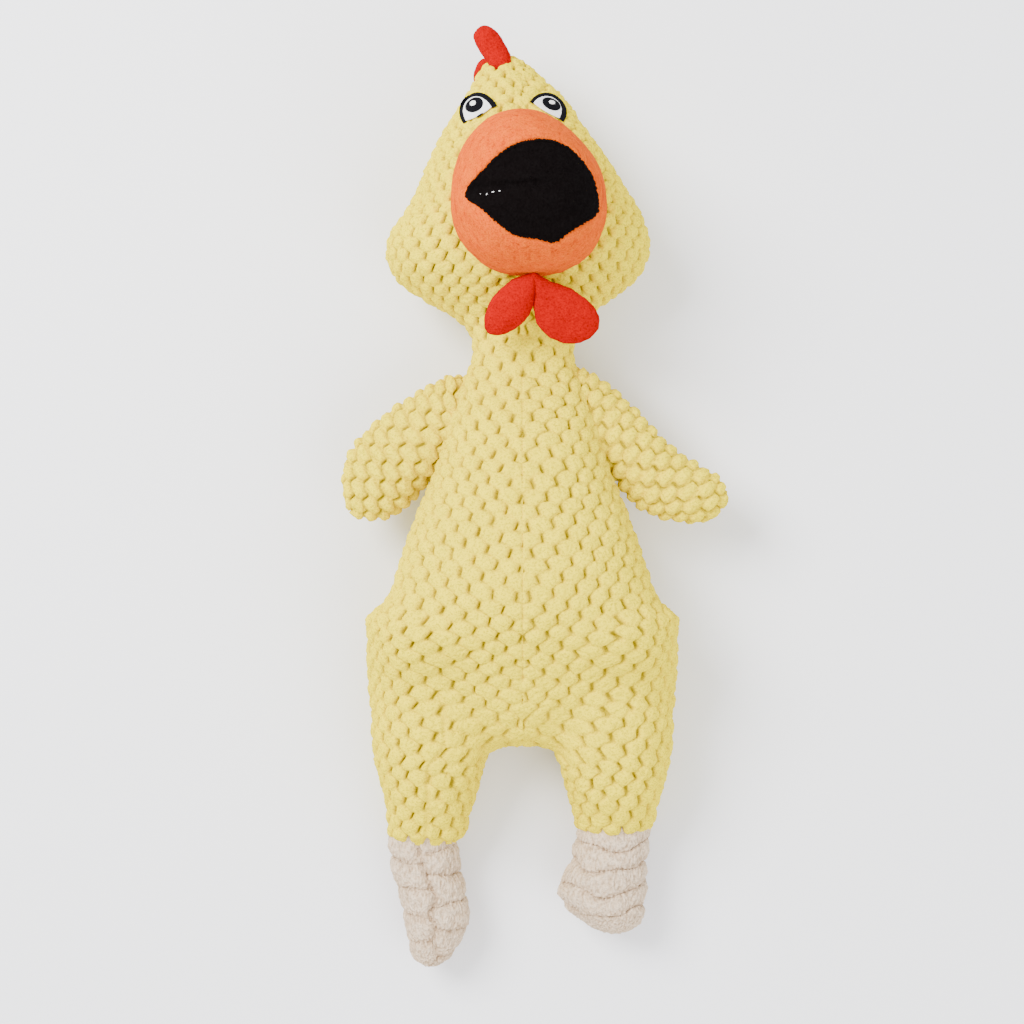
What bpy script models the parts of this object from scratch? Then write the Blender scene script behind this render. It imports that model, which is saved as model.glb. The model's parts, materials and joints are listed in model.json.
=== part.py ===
"""Plush chicken toy lying on its back: belly up (+Z), head towards +Y, feet towards -Y.

Every stuffed part is a set of fabric covers sewn round its own stuffing. A limb starts as a round barrel
centred on its hinge, so that it turns clear of the part it is sewn to. The origin is on the floor under the
middle of the toy. Lengths are in millimetres and are turned into metres where meshes are made.
"""
import math

import bpy
import bmesh
from mathutils import Vector

MM = 0.001

# ---------------------------------------------------------------- driving dimensions, millimetres
BODY_X = -6.0            # the toy's own centre line; widths and middles are measured from it
COVER = 2.0              # thickness of a plush cover with its pile
FILL_IN = 3.2            # how far the stuffing lies inside the outside of its covers
SEAM_GAP = 0.4           # between two covers at a seam
JOINT_GAP = 0.6          # between a barrel and the part it turns in
SQUARENESS = 2.3         # power of a stuffed section: 2 is an ellipse

NECK_HINGE = (BODY_X, 72.0, 27.0)
NECK_BARREL = 20.0
HEAD_JOINT_Y = 84.0
HIP_Y, HIP_Z = -106.0, 27.0
HIP_BARREL = 25.4
HIP_OFFSET = 39.5        # from the centre line to a hip's middle
ANKLE_SEAM_Y = -144.0
SHANK_BARREL = 15.6
SHANK_Z = 18.0
ANKLE_OFFSET = 40.8
WING_MIDDLE = (47.2, 26.0, 30.0)   # middle of a wing's hinge line: from the centre line, Y, Z
WING_SLANT = 18.1        # degrees between the hinge line and Y
WING_BARREL = 10.2
COMB_HINGE = (BODY_X - 11.0, 189.8, 34.0)
COMB_BARREL = 8.2
WATTLE_Y, WATTLE_BARREL = 92.0, 4.0
CHIN_CLEAR = 3.4         # between the wattles' barrels and the sloping chin
WATTLE_SLOPE = 25.0      # degrees that a hanging wattle falls towards the neck

BEAK_CENTRE = (BODY_X + 3.0, 131.0)
BEAK_RADII = (33.0, 35.0)
BEAK_HEIGHT = 30.0
BEAK_FILL = 0.88         # how far out the beak's stuffing reaches
BEAK_CLEAR = 2.8         # between the beak's stuffing and the outside of its covers
BEAK_LIFT = 1.4          # the beak's foot above the face, clear of its flat facets
EYE_LIFT = 1.0           # the embroidery's foot above the face
MOUTH_REACH = (0.86, 0.60)         # the mouth's half width and half height, as parts of the beak's radii

SQUEAKER_AT = (BODY_X, -20.0, 27.0)
SQUEAKER_RADIUS, SQUEAKER_HEIGHT = 20.0, 22.0

# rows of a stuffed tube: (y, middle's offset from the centre line, half width, half height, centre z)
TORSO = [(51.0, 0, 26, 20, 27), (44, 0, 30, 24, 29), (30, 0, 33, 29, 32),
         (12, 0, 37, 34, 34), (-9, 0, 46, 38, 36), (-30, 0, 53, 40.5, 37.5),
         (-42, 0, 57, 40.5, 37.5), (-54, 0, 65, 38.5, 36), (-66, 0, 67, 34, 33),
         (-76, 0, 66, 25, 30), (-80, 0, 62, 15, 28)]
HEAD = [(84.6, -0.5, 31, 26, 30), (91, -1, 44, 31, 33), (99, -1.5, 53, 35, 35),
        (109, -2, 56.5, 37, 36.5), (118, -1, 52.5, 37.5, 36.5), (135, -1, 42, 36.5, 36),
        (152, -1.5, 34, 32.5, 35), (165, -2, 26, 26, 34), (174, -4, 18, 18, 33.5),
        (179, -6, 11, 11, 33.5), (180.8, -6.5, 6.5, 6.5, 33.5)]

YELLOW, ORANGE, BLACK = (0.93, 0.74, 0.27), (0.93, 0.22, 0.05), (0.01, 0.008, 0.008)
RED, BEIGE, WHITE = (0.72, 0.01, 0.02), (0.66, 0.56, 0.47), (0.9, 0.9, 0.88)


def material(name, colour, roughness=0.9):
    made = bpy.data.materials.new(name)
    made.use_nodes = True
    shader = made.node_tree.nodes["Principled BSDF"]
    shader.inputs["Base Color"].default_value = (*colour, 1.0)
    shader.inputs["Roughness"].default_value = roughness
    return made


def pivot(name, place, parent=None):
    """An empty on a joint's axis. Place is in millimetres, in world coordinates."""
    empty = bpy.data.objects.new(name, None)
    bpy.context.collection.objects.link(empty)
    empty.parent = parent
    origin = Vector(parent["world"]) if parent else Vector((0, 0, 0))
    empty["world"] = place
    empty.location = (Vector(place) - origin) * MM
    return empty


def add(name, points, faces, paint, holder=None):
    """One closed solid from world points in millimetres, held by a joint's empty."""
    origin = Vector(holder["world"]) if holder else Vector((0, 0, 0))
    mesh = bpy.data.meshes.new(name)
    mesh.from_pydata([(Vector(p) - origin) * MM for p in points], [], faces)
    work = bmesh.new()
    work.from_mesh(mesh)
    bmesh.ops.recalc_face_normals(work, faces=work.faces)
    work.to_mesh(mesh)
    work.free()
    mesh.shade_smooth()
    mesh.set_sharp_from_angle(angle=math.radians(50))
    mesh.materials.append(paint)
    made = bpy.data.objects.new(name, mesh)
    made.parent = holder
    bpy.context.collection.objects.link(made)
    return made


# ---------------------------------------------------------------- stuffed tubes
class Frame:
    """Where a tube lies: rows run along one direction and are wide across another."""

    def __init__(self, origin=(0, 0, 0), along=(0, 1, 0), across=(1, 0, 0), floor=None):
        self.origin, self.along, self.across = Vector(origin), Vector(along), Vector(across)
        self.floor = floor

    def point(self, row, angle, inset):
        """A point of the row's rounded section, moved in by the inset."""
        reach, middle, half_width, half_height, height = row
        cosine, sine = math.cos(angle), math.sin(angle)
        wide = math.copysign(abs(cosine) ** (2 / SQUARENESS), cosine) * (half_width - inset)
        tall = height + math.copysign(abs(sine) ** (2 / SQUARENESS), sine) * (half_height - inset)
        if self.floor is not None:
            tall = max(tall, self.floor + inset)
        return self.origin + self.along * reach + self.across * (middle + wide) + Vector((0, 0, tall))


LYING = Frame(origin=(BODY_X, 0, 0), floor=0.0)
LYING_FILL = Frame(origin=(BODY_X, 0, 0), floor=FILL_IN)


def arc(start, stop, parts):
    """Angles in radians from start to stop, given in degrees, both ends included."""
    return [math.radians(start + (stop - start) * i / parts) for i in range(parts + 1)]


def grid_faces(rows, columns, base=0, closed=False):
    span = columns if closed else columns - 1
    return [(base + r * columns + c, base + r * columns + (c + 1) % columns,
             base + (r + 1) * columns + (c + 1) % columns, base + (r + 1) * columns + c)
            for r in range(rows - 1) for c in range(span)]


def cover(name, frame, rows, start, stop, parts, paint, holder=None, shift=(0, 0, 0)):
    """A fabric panel: the wall of a stuffed tube between two angles, open at both ends."""
    angles = arc(start, stop, parts)
    outer = [frame.point(row, a, 0.0) for row in rows for a in angles]
    inner = [frame.point(row, a, COVER) for row in rows for a in angles]
    points = [p + Vector(shift) for p in outer + inner]
    return add(name, points, wall_faces(len(rows), len(angles)), paint, holder)


def wall_faces(count, wide):
    """The faces of a sheet with thickness: an outer grid, an inner grid and the edges between them."""
    half = count * wide
    faces = grid_faces(count, wide) + grid_faces(count, wide, half)
    for r in range(count - 1):
        for c in (0, wide - 1):
            a, b = r * wide + c, (r + 1) * wide + c
            faces.append((a, b, b + half, a + half))
    for c in range(wide - 1):
        for r in (0, count - 1):
            a, b = r * wide + c, r * wide + c + 1
            faces.append((a, b, b + half, a + half))
    return faces


def shrunk(rows):
    """Rows of the stuffing inside a tube of covers."""
    return [(reach, middle, half_width - FILL_IN, half_height - FILL_IN, height)
            for reach, middle, half_width, half_height, height in rows]


def filling(name, frame, rows, paint, holder=None, start=0, stop=360, parts=12, shift=(0, 0, 0)):
    """Stuffing: a closed tube inside the covers, whole or cut flat along its length."""
    angles = arc(start, stop, parts)
    if stop - start == 360:
        angles = angles[:-1]
    rings = [[frame.point(row, a, 0.0) + Vector(shift) for a in angles] for row in rows]
    wide = len(angles)
    faces = grid_faces(len(rings), wide, closed=True)
    faces += [tuple(range(wide)), tuple(range((len(rings) - 1) * wide, len(rings) * wide))]
    return add(name, [p for ring in rings for p in ring], faces, paint, holder)


def sleeve(name, frame, rows, paint, holder, parts=14):
    """A cover sewn as one tube: open at the first row, gathered shut at the last."""
    angles = arc(0, 360, parts)[:-1]
    inner_rows = rows[:-1] + [(rows[-1][0] + math.copysign(COVER, rows[0][0] - rows[-1][0]), *rows[-1][1:])]
    outer = [frame.point(row, a, 0.0) for row in rows for a in angles]
    inner = [frame.point(row, a, COVER) for row in inner_rows for a in angles]
    count, half = len(rows), len(rows) * parts
    faces = grid_faces(count, parts, closed=True) + grid_faces(count, parts, half, closed=True)
    faces += [(c, (c + 1) % parts, half + (c + 1) % parts, half + c) for c in range(parts)]
    faces += [tuple(range(half - parts, half)), tuple(range(2 * half - parts, 2 * half))]
    return add(name, outer + inner, faces, paint, holder)


def barrel_rows(radius, middle, half_width, height, steps=(0.985, 0.9, 0.7, 0.4)):
    """Rows of a limb's root, from its far side up to its hinge: a round barrel about the hinge."""
    return [(-radius * part, middle, half_width * (1 - 0.25 * part ** 4),
             radius * math.sqrt(1 - part ** 2), height) for part in steps]


def turned(name, profile, at, paint, parts=24, holder=None):
    """A solid of revolution about Z. The profile runs from its first point to its last, both on the axis,
    or closes on itself."""
    points, faces, rings = [], [], []
    for radius, height in profile:
        if radius == 0:
            rings.append([len(points)] * parts)
            points.append((at[0], at[1], at[2] + height))
            continue
        rings.append([len(points) + i for i in range(parts)])
        for i in range(parts):
            turn = 2 * math.pi * i / parts
            points.append((at[0] + radius * math.cos(turn), at[1] + radius * math.sin(turn), at[2] + height))
    pairs = list(zip(rings, rings[1:]))
    if profile[0][0] != 0:
        pairs.append((rings[-1], rings[0]))
    for one, two in pairs:
        for i in range(parts):
            corner = [one[i], one[(i + 1) % parts], two[(i + 1) % parts], two[i]]
            faces.append(tuple(dict.fromkeys(corner)))
    return add(name, points, faces, paint, holder)


# ---------------------------------------------------------------- shapes that lie on the face
def face_height(x, y):
    """Height of the head's front cover above a point of its plan."""
    upper = min(range(1, len(HEAD)), key=lambda i: (HEAD[i][0] < y, i))
    low, high = HEAD[upper - 1], HEAD[upper]
    part = min(max((y - low[0]) / (high[0] - low[0]), 0.0), 1.0)
    _, middle, half_width, half_height, height = [a + (b - a) * part for a, b in zip(low, high)]
    side = min(abs(x - BODY_X - middle) / half_width, 0.98)
    return height + half_height * (1 - side ** SQUARENESS) ** (1 / SQUARENESS) + SEAM_GAP / 2


def sheet_on_face(name, grid, lift, thickness, paint, holder):
    """A patch of fabric or thread that follows the face: a grid of plan points, with a height for each."""
    wide = len(grid[0])
    under = [(x, y, face_height(x, y) + lift + rise) for row in grid for x, y, rise in row]
    over = [(x, y, z + thickness) for x, y, z in under]
    return add(name, over + under, wall_faces(len(grid), wide), paint, holder)


def beak_point(turn, part, bulge=0.0):
    """A plan point of the beak's dome with its height, from its middle (part 0) to its rim (part 1)."""
    x = BEAK_CENTRE[0] + BEAK_RADII[0] * part * math.cos(turn)
    y = BEAK_CENTRE[1] + BEAK_RADII[1] * part * math.sin(turn)
    return x, y, BEAK_HEIGHT * math.sqrt(max(0.0, 1 - part ** 2.4)) + bulge


def mouth_edge(turn):
    """How far out the mouth reaches in one direction: a lozenge with rounded sides."""
    wide = abs(math.cos(turn)) / MOUTH_REACH[0]
    tall = abs(math.sin(turn)) / MOUTH_REACH[1]
    return (wide ** 1.25 + tall ** 1.25) ** (-1 / 1.25)


def build_beak(head, paints):
    """Two orange covers round a two-piece black mouth, over one cone of stuffing."""
    wall, rim_trim, split = 2.0, 0.985, 1.2
    for name, start in (("beak_upper_cover", 0), ("beak_lower_cover", 180)):
        turns = arc(start + split, start + 180 - split, 14)
        grid = [[beak_point(t, mouth_edge(t) + (rim_trim - mouth_edge(t)) * k / 3) for t in turns]
                for k in range(4)]
        sheet_on_face(name, grid, BEAK_LIFT, wall, paints["orange"], head)
    for name, start in (("mouth_upper_lining", 0), ("mouth_lower_lining", 180)):
        turns = arc(start + 2 * split, start + 180 - 2 * split, 10)
        grid = [[beak_point(t, 0.06 + (mouth_edge(t) * 0.97 - 0.06) * k / 3) for t in turns]
                for k in range(4)]
        sheet_on_face(name, grid, BEAK_LIFT, wall * 0.8, paints["black"], head)
    parts, rings = 20, 4
    points, faces = [], []
    for layer in range(rings):
        for t in arc(0, 360, parts)[:-1]:
            x, y, rise = beak_point(t, BEAK_FILL * (1 - layer / rings))
            points.append((x, y, face_height(x, y) + max(rise + BEAK_LIFT - BEAK_CLEAR, BEAK_LIFT + 1.5)))
    points.append((*BEAK_CENTRE, face_height(*BEAK_CENTRE) + BEAK_HEIGHT + BEAK_LIFT - BEAK_CLEAR))
    faces += grid_faces(rings, parts, closed=True)
    last = (rings - 1) * parts
    faces += [(last + i, last + (i + 1) % parts, len(points) - 1) for i in range(parts)]
    base = len(points)
    for layer in range(rings):
        for t in arc(0, 360, parts)[:-1]:
            x, y, _ = beak_point(t, BEAK_FILL * (1 - layer / rings))
            points.append((x, y, face_height(x, y) + BEAK_LIFT))
    points.append((*BEAK_CENTRE, face_height(*BEAK_CENTRE) + BEAK_LIFT))
    faces += grid_faces(rings, parts, base, closed=True)
    last = base + (rings - 1) * parts
    faces += [(last + i, last + (i + 1) % parts, len(points) - 1) for i in range(parts)]
    faces += [(i, (i + 1) % parts, base + (i + 1) % parts, base + i) for i in range(parts)]
    add("beak_stuffing", points, faces, paints["filling"], head)


def eye_grid(centre, tilt, half_width, height, start, stop, inner, outer, parts=9, rings=3):
    """Plan points of an arched eye: a half ellipse on a tilted base line, between two parts of its size."""
    rows = []
    for k in range(rings):
        part = inner + (outer - inner) * k / (rings - 1)
        row = []
        for t in arc(start, stop, parts):
            u, v = half_width * part * math.cos(t), height * part * math.sin(t)
            x = centre[0] + u * math.cos(tilt) - v * math.sin(tilt)
            y = centre[1] + u * math.sin(tilt) + v * math.cos(tilt)
            row.append((x, y, 0.0))
        rows.append(row)
    return rows


def build_eyes(head, paints):
    """Embroidered eyes: a white half disc, a black arch over it, a black pupil and a white glint."""
    thread = 0.8
    sides = (("left", (BODY_X - 18.5, 162.4), 27, 7.4, 8.6),
             ("right", (BODY_X + 10.4, 164.2), -20, 6.2, 6.6))
    for side, base, degrees, half_width, height in sides:
        tilt = math.radians(degrees)
        white = eye_grid(base, tilt, half_width, height, 2, 178, 0.1, 1.0)
        sheet_on_face("eye_white_" + side, white, EYE_LIFT, thread, paints["white"], head)
        arch = eye_grid(base, tilt, half_width, height, 2, 178, 1.06, 1.3, rings=2)
        sheet_on_face("eye_outline_" + side, arch, EYE_LIFT, thread + 0.4, paints["black"], head)
        up = (base[0] - 0.45 * height * math.sin(tilt), base[1] + 0.45 * height * math.cos(tilt))
        pupil = eye_grid(up, tilt, half_width * 0.5, height * 0.36, 0, 350, 0.12, 1.0, rings=2)
        sheet_on_face("pupil_" + side, pupil, EYE_LIFT + thread + 0.4, thread, paints["black"], head)
        glint = eye_grid(up, tilt, half_width * 0.16, half_width * 0.16, 0, 330, 0.2, 1.0, parts=8, rings=2)
        sheet_on_face("eye_glint_" + side, glint, EYE_LIFT + 2 * thread + 0.8, 0.5, paints["white"], head)


# ---------------------------------------------------------------- the toy
def build_torso(paints):
    half = SEAM_GAP / 2
    cover("torso_front_right_cover", LYING, TORSO, 0, 90, 7, paints["yellow"], shift=(half, 0, half))
    cover("torso_front_left_cover", LYING, TORSO, 90, 180, 7, paints["yellow"], shift=(-half, 0, half))
    cover("torso_back_cover", LYING, TORSO, 180, 360, 14, paints["yellow"])
    for name, start, side in (("torso_stuffing_front", 0, 1), ("torso_stuffing_back", 180, -1)):
        lump = filling(name, LYING_FILL, shrunk(TORSO[1:-1]), paints["filling"], start=start,
                       stop=start + 180, parts=14, shift=(0, 0, side * half))
        pocket = cutter(name + "_pocket", SQUEAKER_RADIUS + 1.2, SQUEAKER_HEIGHT + 2.4)
        cut = lump.modifiers.new("pocket", "BOOLEAN")
        cut.operation, cut.object = "DIFFERENCE", pocket


def cutter(name, radius, height):
    """The squeaker's pocket, cut out of the stuffing."""
    x, y, z = SQUEAKER_AT
    profile = [(0, -1.2), (radius, -1.2), (radius, height - 1.2), (0, height - 1.2)]
    made = turned(name, profile, (x, y, z), bpy.data.materials["filling"])
    made.hide_render = True
    made.display_type = "WIRE"
    return made


def build_squeaker(paints):
    """A soft bellows with a stem in its lower hole and a reed in the stem."""
    wall, hole, folds = 1.2, 6.0, 3
    outer, inner = [(0, SQUEAKER_HEIGHT)], [(0, SQUEAKER_HEIGHT - wall)]
    pitch = SQUEAKER_HEIGHT / (2 * folds)
    for i in range(2 * folds + 1):
        radius = SQUEAKER_RADIUS - (3.0 if i % 2 else 0.0)
        height = SQUEAKER_HEIGHT - i * pitch
        outer.append((radius, height))
        inner.append((radius - wall, min(max(height, wall), SQUEAKER_HEIGHT - wall)))
    profile = outer + [(hole, 0), (hole, wall)] + inner[::-1]
    turned("squeaker_bellows", profile, SQUEAKER_AT, paints["vinyl"], parts=14)
    stem = [(hole - 0.4, 0.2), (hole - 0.4, 8.0), (2.8, 8.0), (2.8, 0.2)]
    turned("squeaker_stem", stem, SQUEAKER_AT, paints["plastic"], parts=12)
    x, y, z = SQUEAKER_AT
    box = [(x + a * 2.0, y + b * 0.3, z + 1 + c * 6) for c in (0, 1) for b in (-1, 1) for a in (-1, 1)]
    faces = [(0, 1, 3, 2), (4, 5, 7, 6), (0, 1, 5, 4), (2, 3, 7, 6), (0, 2, 6, 4), (1, 3, 7, 5)]
    add("squeaker_reed", box, faces, paints["plastic"])


def build_neck(paints, neck):
    frame = Frame(origin=(BODY_X, NECK_HINGE[1], 0))
    rows = barrel_rows(NECK_BARREL, 0, 24, NECK_HINGE[2])
    rows += [(0, 0, 24, NECK_BARREL, 27), (6, 0, 26, 22.5, 28),
             (HEAD_JOINT_Y - NECK_HINGE[1], -0.5, 29, 25.5, 30)]
    half = SEAM_GAP / 2
    cover("neck_front_cover", frame, rows, 0, 180, 8, paints["yellow"], neck, shift=(0, 0, half))
    cover("neck_back_cover", frame, rows, 180, 360, 8, paints["yellow"], neck, shift=(0, 0, -half))
    inner = barrel_rows(NECK_BARREL - FILL_IN, 0, 24 - FILL_IN, NECK_HINGE[2]) + shrunk(rows[-3:-1])
    filling("neck_stuffing", frame, inner, paints["filling"], neck)


def build_head(paints, head):
    half = SEAM_GAP / 2
    cover("head_front_cover", LYING, HEAD, 0, 180, 14, paints["yellow"], head, shift=(0, 0, half))
    cover("head_back_cover", LYING, HEAD, 180, 360, 14, paints["yellow"], head, shift=(0, 0, 0))
    filling("head_stuffing", LYING_FILL, shrunk(HEAD[1:-2]), paints["filling"], head, parts=20)
    build_beak(head, paints)
    build_eyes(head, paints)


def build_comb(paints, comb):
    """Two stuffed lobes, one behind the other along the top of the head, on one hinge line along Z."""
    x, y, _ = COMB_HINGE
    lobes = (("comb_front_lobe", 43.5, 10.6, 10.5), ("comb_rear_lobe", 24.0, 7.5, 8.0))
    for name, height, reach, half_depth in lobes:
        rows = []
        for p in (-0.97, -0.8, -0.5, 0, 0.35, 0.65, 0.85, 0.97):
            deep = half_depth * (0.6 + 0.4 * (1 + p) if p < 0 else math.sqrt(1 - p ** 3))
            length = COMB_BARREL if p < 0 else reach
            rows.append((p * length, 0, COMB_BARREL * math.sqrt(1 - p * p), deep, height))
        lobe(name, Frame(origin=(x, y, 0)), rows, paints["red"], comb)


def lobe(name, frame, rows, paint, holder, parts=12):
    """A small closed pad: a tube with its two ends shut."""
    angles = arc(0, 360, parts)[:-1]
    points = [frame.point(row, a, 0.0) for row in rows for a in angles]
    faces = grid_faces(len(rows), parts, closed=True)
    faces += [tuple(range(parts)), tuple(range(len(points) - parts, len(points)))]
    return add(name, points, faces, paint, holder)


def wattle_height():
    return face_height(BODY_X, WATTLE_Y) + WATTLE_BARREL + CHIN_CLEAR


def build_wattle(side, sign, holder, paints):
    """A red pad that hangs from the chin over the neck."""
    middle, length, half_width = (-6.0, 24.0, 8.6) if sign < 0 else (16.0, 26.0, 10.6)
    slope = math.radians(WATTLE_SLOPE)
    along = (0, -math.cos(slope), 0)
    lean = 0.25 * sign
    frame = Frame(origin=(BODY_X, WATTLE_Y, 0), along=along)
    rows = []
    for part in (-0.97, -0.7, 0.0):
        rows.append((part * WATTLE_BARREL, middle, half_width * 0.62,
                     WATTLE_BARREL * math.sqrt(1 - part * part),
                     wattle_height() + part * WATTLE_BARREL * math.sin(slope)))
    for part in (0.25, 0.5, 0.75, 0.93, 1.0):
        reach = part * length
        swell = half_width * (0.62 + 0.38 * math.sin(math.pi * min(part, 0.6) / 1.2))
        swell *= math.sqrt(1 - part ** 6 * 0.85)
        rows.append((reach, middle + lean * reach, swell, WATTLE_BARREL * math.sqrt(1 - part ** 6 * 0.8),
                     wattle_height() - reach * math.sin(slope)))
    lobe("wattle_" + side, frame, rows, paints["red"], holder)


def build_wing(side, sign, holder, paints):
    """A broad stuffed wing on a long seam down the torso's side. The right one is stretched out further."""
    slant = math.radians(WING_SLANT)
    across = Vector((sign * math.sin(slant), -math.cos(slant), 0))
    along = Vector((sign * math.cos(slant), math.sin(slant), 0))
    frame = Frame(origin=wing_place(sign), along=along, across=across)
    roots = [(-0.97, -27, 14), (-0.8, -30, 22), (-0.4, -27, 31), (0.0, -22, 35)]
    if sign < 0:
        rest = [(6, -15, 37, 11.4), (12, -7, 37, 11.4), (18, 3.5, 32.5, 10.5), (21.5, 15, 29, 8.0),
                (22.8, 18, 26, 5.0)]
    else:
        roots[-1] = (0.0, -14, 37)
        rest = [(6, -1, 40.5, 11.4), (14, 9.5, 43, 11.4), (22, 17, 42, 10.5), (29, 23, 39.5, 8.5),
                (31.8, 27, 36, 5.0)]
    rows = [(p * WING_BARREL, (low + high) / 2, (high - low) / 2, WING_BARREL * math.sqrt(1 - p * p), 0)
            for p, low, high in roots]
    rows += [(reach, (low + high) / 2, (high - low) / 2, thick, 0) for reach, low, high, thick in rest]
    half = SEAM_GAP / 2
    cover(f"wing_{side}_front_cover", frame, rows, 0, 180, 8, paints["yellow"], holder, shift=(0, 0, half))
    cover(f"wing_{side}_back_cover", frame, rows, 180, 360, 8, paints["yellow"], holder, shift=(0, 0, -half))
    filling(f"wing_{side}_stuffing", frame, shrunk(rows[2:-1]), paints["filling"], holder)


def wing_place(sign):
    """The middle of a wing's hinge line."""
    return (BODY_X + sign * WING_MIDDLE[0], WING_MIDDLE[1], WING_MIDDLE[2])


def build_thigh(side, sign, holder, paints):
    frame = Frame(origin=(BODY_X, HIP_Y, 0), along=(0, -1, 0))
    hip, ankle = sign * HIP_OFFSET, sign * ANKLE_OFFSET
    rest = [(0, hip, 26, HIP_BARREL, HIP_Z), (12, hip + 0.3 * (ankle - hip), 23, 23.5, 25.5),
            (24, hip + 0.7 * (ankle - hip), 19.5, 20.5, 23), (33, ankle, 16, 17, 20.5),
            (HIP_Y - ANKLE_SEAM_Y, ankle, 12, 12.5, 19)]
    rows = barrel_rows(HIP_BARREL, hip, 26, HIP_Z) + rest
    inner = barrel_rows(HIP_BARREL - FILL_IN, hip, 26 - FILL_IN, HIP_Z) + shrunk(rest[:-1])
    half = SEAM_GAP / 2
    cover(f"thigh_{side}_front_cover", frame, rows, 0, 180, 8, paints["yellow"], holder, shift=(0, 0, half))
    cover(f"thigh_{side}_back_cover", frame, rows, 180, 360, 8, paints["yellow"], holder, shift=(0, 0, -half))
    filling(f"thigh_{side}_stuffing", frame, inner, paints["filling"], holder)


def shank_hinge_y():
    return ANKLE_SEAM_Y - JOINT_GAP - SHANK_BARREL


def build_shank(side, sign, holder, paints):
    """A beige sleeve that gathers into rolls and closes at the toe."""
    length, half_width, drift = (56.0, 15.8, 3.0) if sign < 0 else (46.0, 17.4, -4.0)
    frame = Frame(origin=(BODY_X + sign * ANKLE_OFFSET, shank_hinge_y(), 0), along=(0, -1, 0))
    rows = barrel_rows(SHANK_BARREL, 0, half_width, SHANK_Z, steps=(0.97, 0.8, 0.45))
    free = length - SHANK_BARREL - JOINT_GAP
    rolls = 3
    for i in range(2 * rolls):
        part = i / (2 * rolls)
        roll = 1.0 if i % 2 == 0 else 0.9
        taper = roll * (1 - 0.16 * part)
        rows.append((free * part * 0.9, drift * part, half_width * taper, SHANK_BARREL * taper,
                     SHANK_Z - 3 * part))
    rows += [(free * 0.86, drift, half_width * 0.62, SHANK_BARREL * 0.62, 14.5),
             (free, drift, half_width * 0.38, SHANK_BARREL * 0.36, 14)]
    sleeve(f"shank_{side}_cover", frame, rows, paints["beige"], holder)
    inner = barrel_rows(SHANK_BARREL - FILL_IN, 0, half_width - FILL_IN, SHANK_Z, steps=(0.97, 0.8, 0.45))
    filling(f"shank_{side}_stuffing", frame, inner + shrunk(rows[3:-2]), paints["filling"], holder)


def main():
    for old in list(bpy.data.objects):
        bpy.data.objects.remove(old, do_unlink=True)
    paints = {"yellow": material("yellow_plush", YELLOW), "orange": material("orange_plush", ORANGE),
              "black": material("black_plush", BLACK), "red": material("red_plush", RED),
              "beige": material("beige_plush", BEIGE), "white": material("white_thread", WHITE, 0.6),
              "filling": material("filling", (0.92, 0.92, 0.9)),
              "vinyl": material("vinyl", (0.85, 0.85, 0.82), 0.35),
              "plastic": material("plastic", (0.8, 0.8, 0.8), 0.4)}
    build_torso(paints)
    build_squeaker(paints)
    neck = pivot("neck_pivot", NECK_HINGE)
    build_neck(paints, neck)
    head = pivot("head_pivot", (BODY_X, HEAD_JOINT_Y + JOINT_GAP / 2, 30.0), neck)
    build_head(paints, head)
    build_comb(paints, pivot("comb_pivot", COMB_HINGE, head))
    for side, sign in (("left", -1), ("right", 1)):
        wattle = pivot(f"wattle_{side}_pivot", (BODY_X, WATTLE_Y, wattle_height()), head)
        build_wattle(side, sign, wattle, paints)
        wing = pivot(f"wing_{side}_pivot", wing_place(sign))
        build_wing(side, sign, wing, paints)
        thigh = pivot(f"thigh_{side}_pivot", (BODY_X + sign * HIP_OFFSET, HIP_Y, HIP_Z))
        build_thigh(side, sign, thigh, paints)
        shank = pivot(f"shank_{side}_pivot", (BODY_X + sign * ANKLE_OFFSET, shank_hinge_y(), SHANK_Z), thigh)
        build_shank(side, sign, shank, paints)


main()
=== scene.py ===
"""The looks of the plush chicken: puffed plush covers, beak, eyes, comb, wattles and gathered feet.

The covers of the body are made as one soft bag round the CAD solids, puffed up by a short cloth simulation,
given the raised puffs of pineapple-grid plush, and cut into one piece for each moving body.
"""
import math

import bmesh
import bpy
import json
import numpy as np
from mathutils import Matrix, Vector, noise
from mathutils.bvhtree import BVHTree

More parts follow.
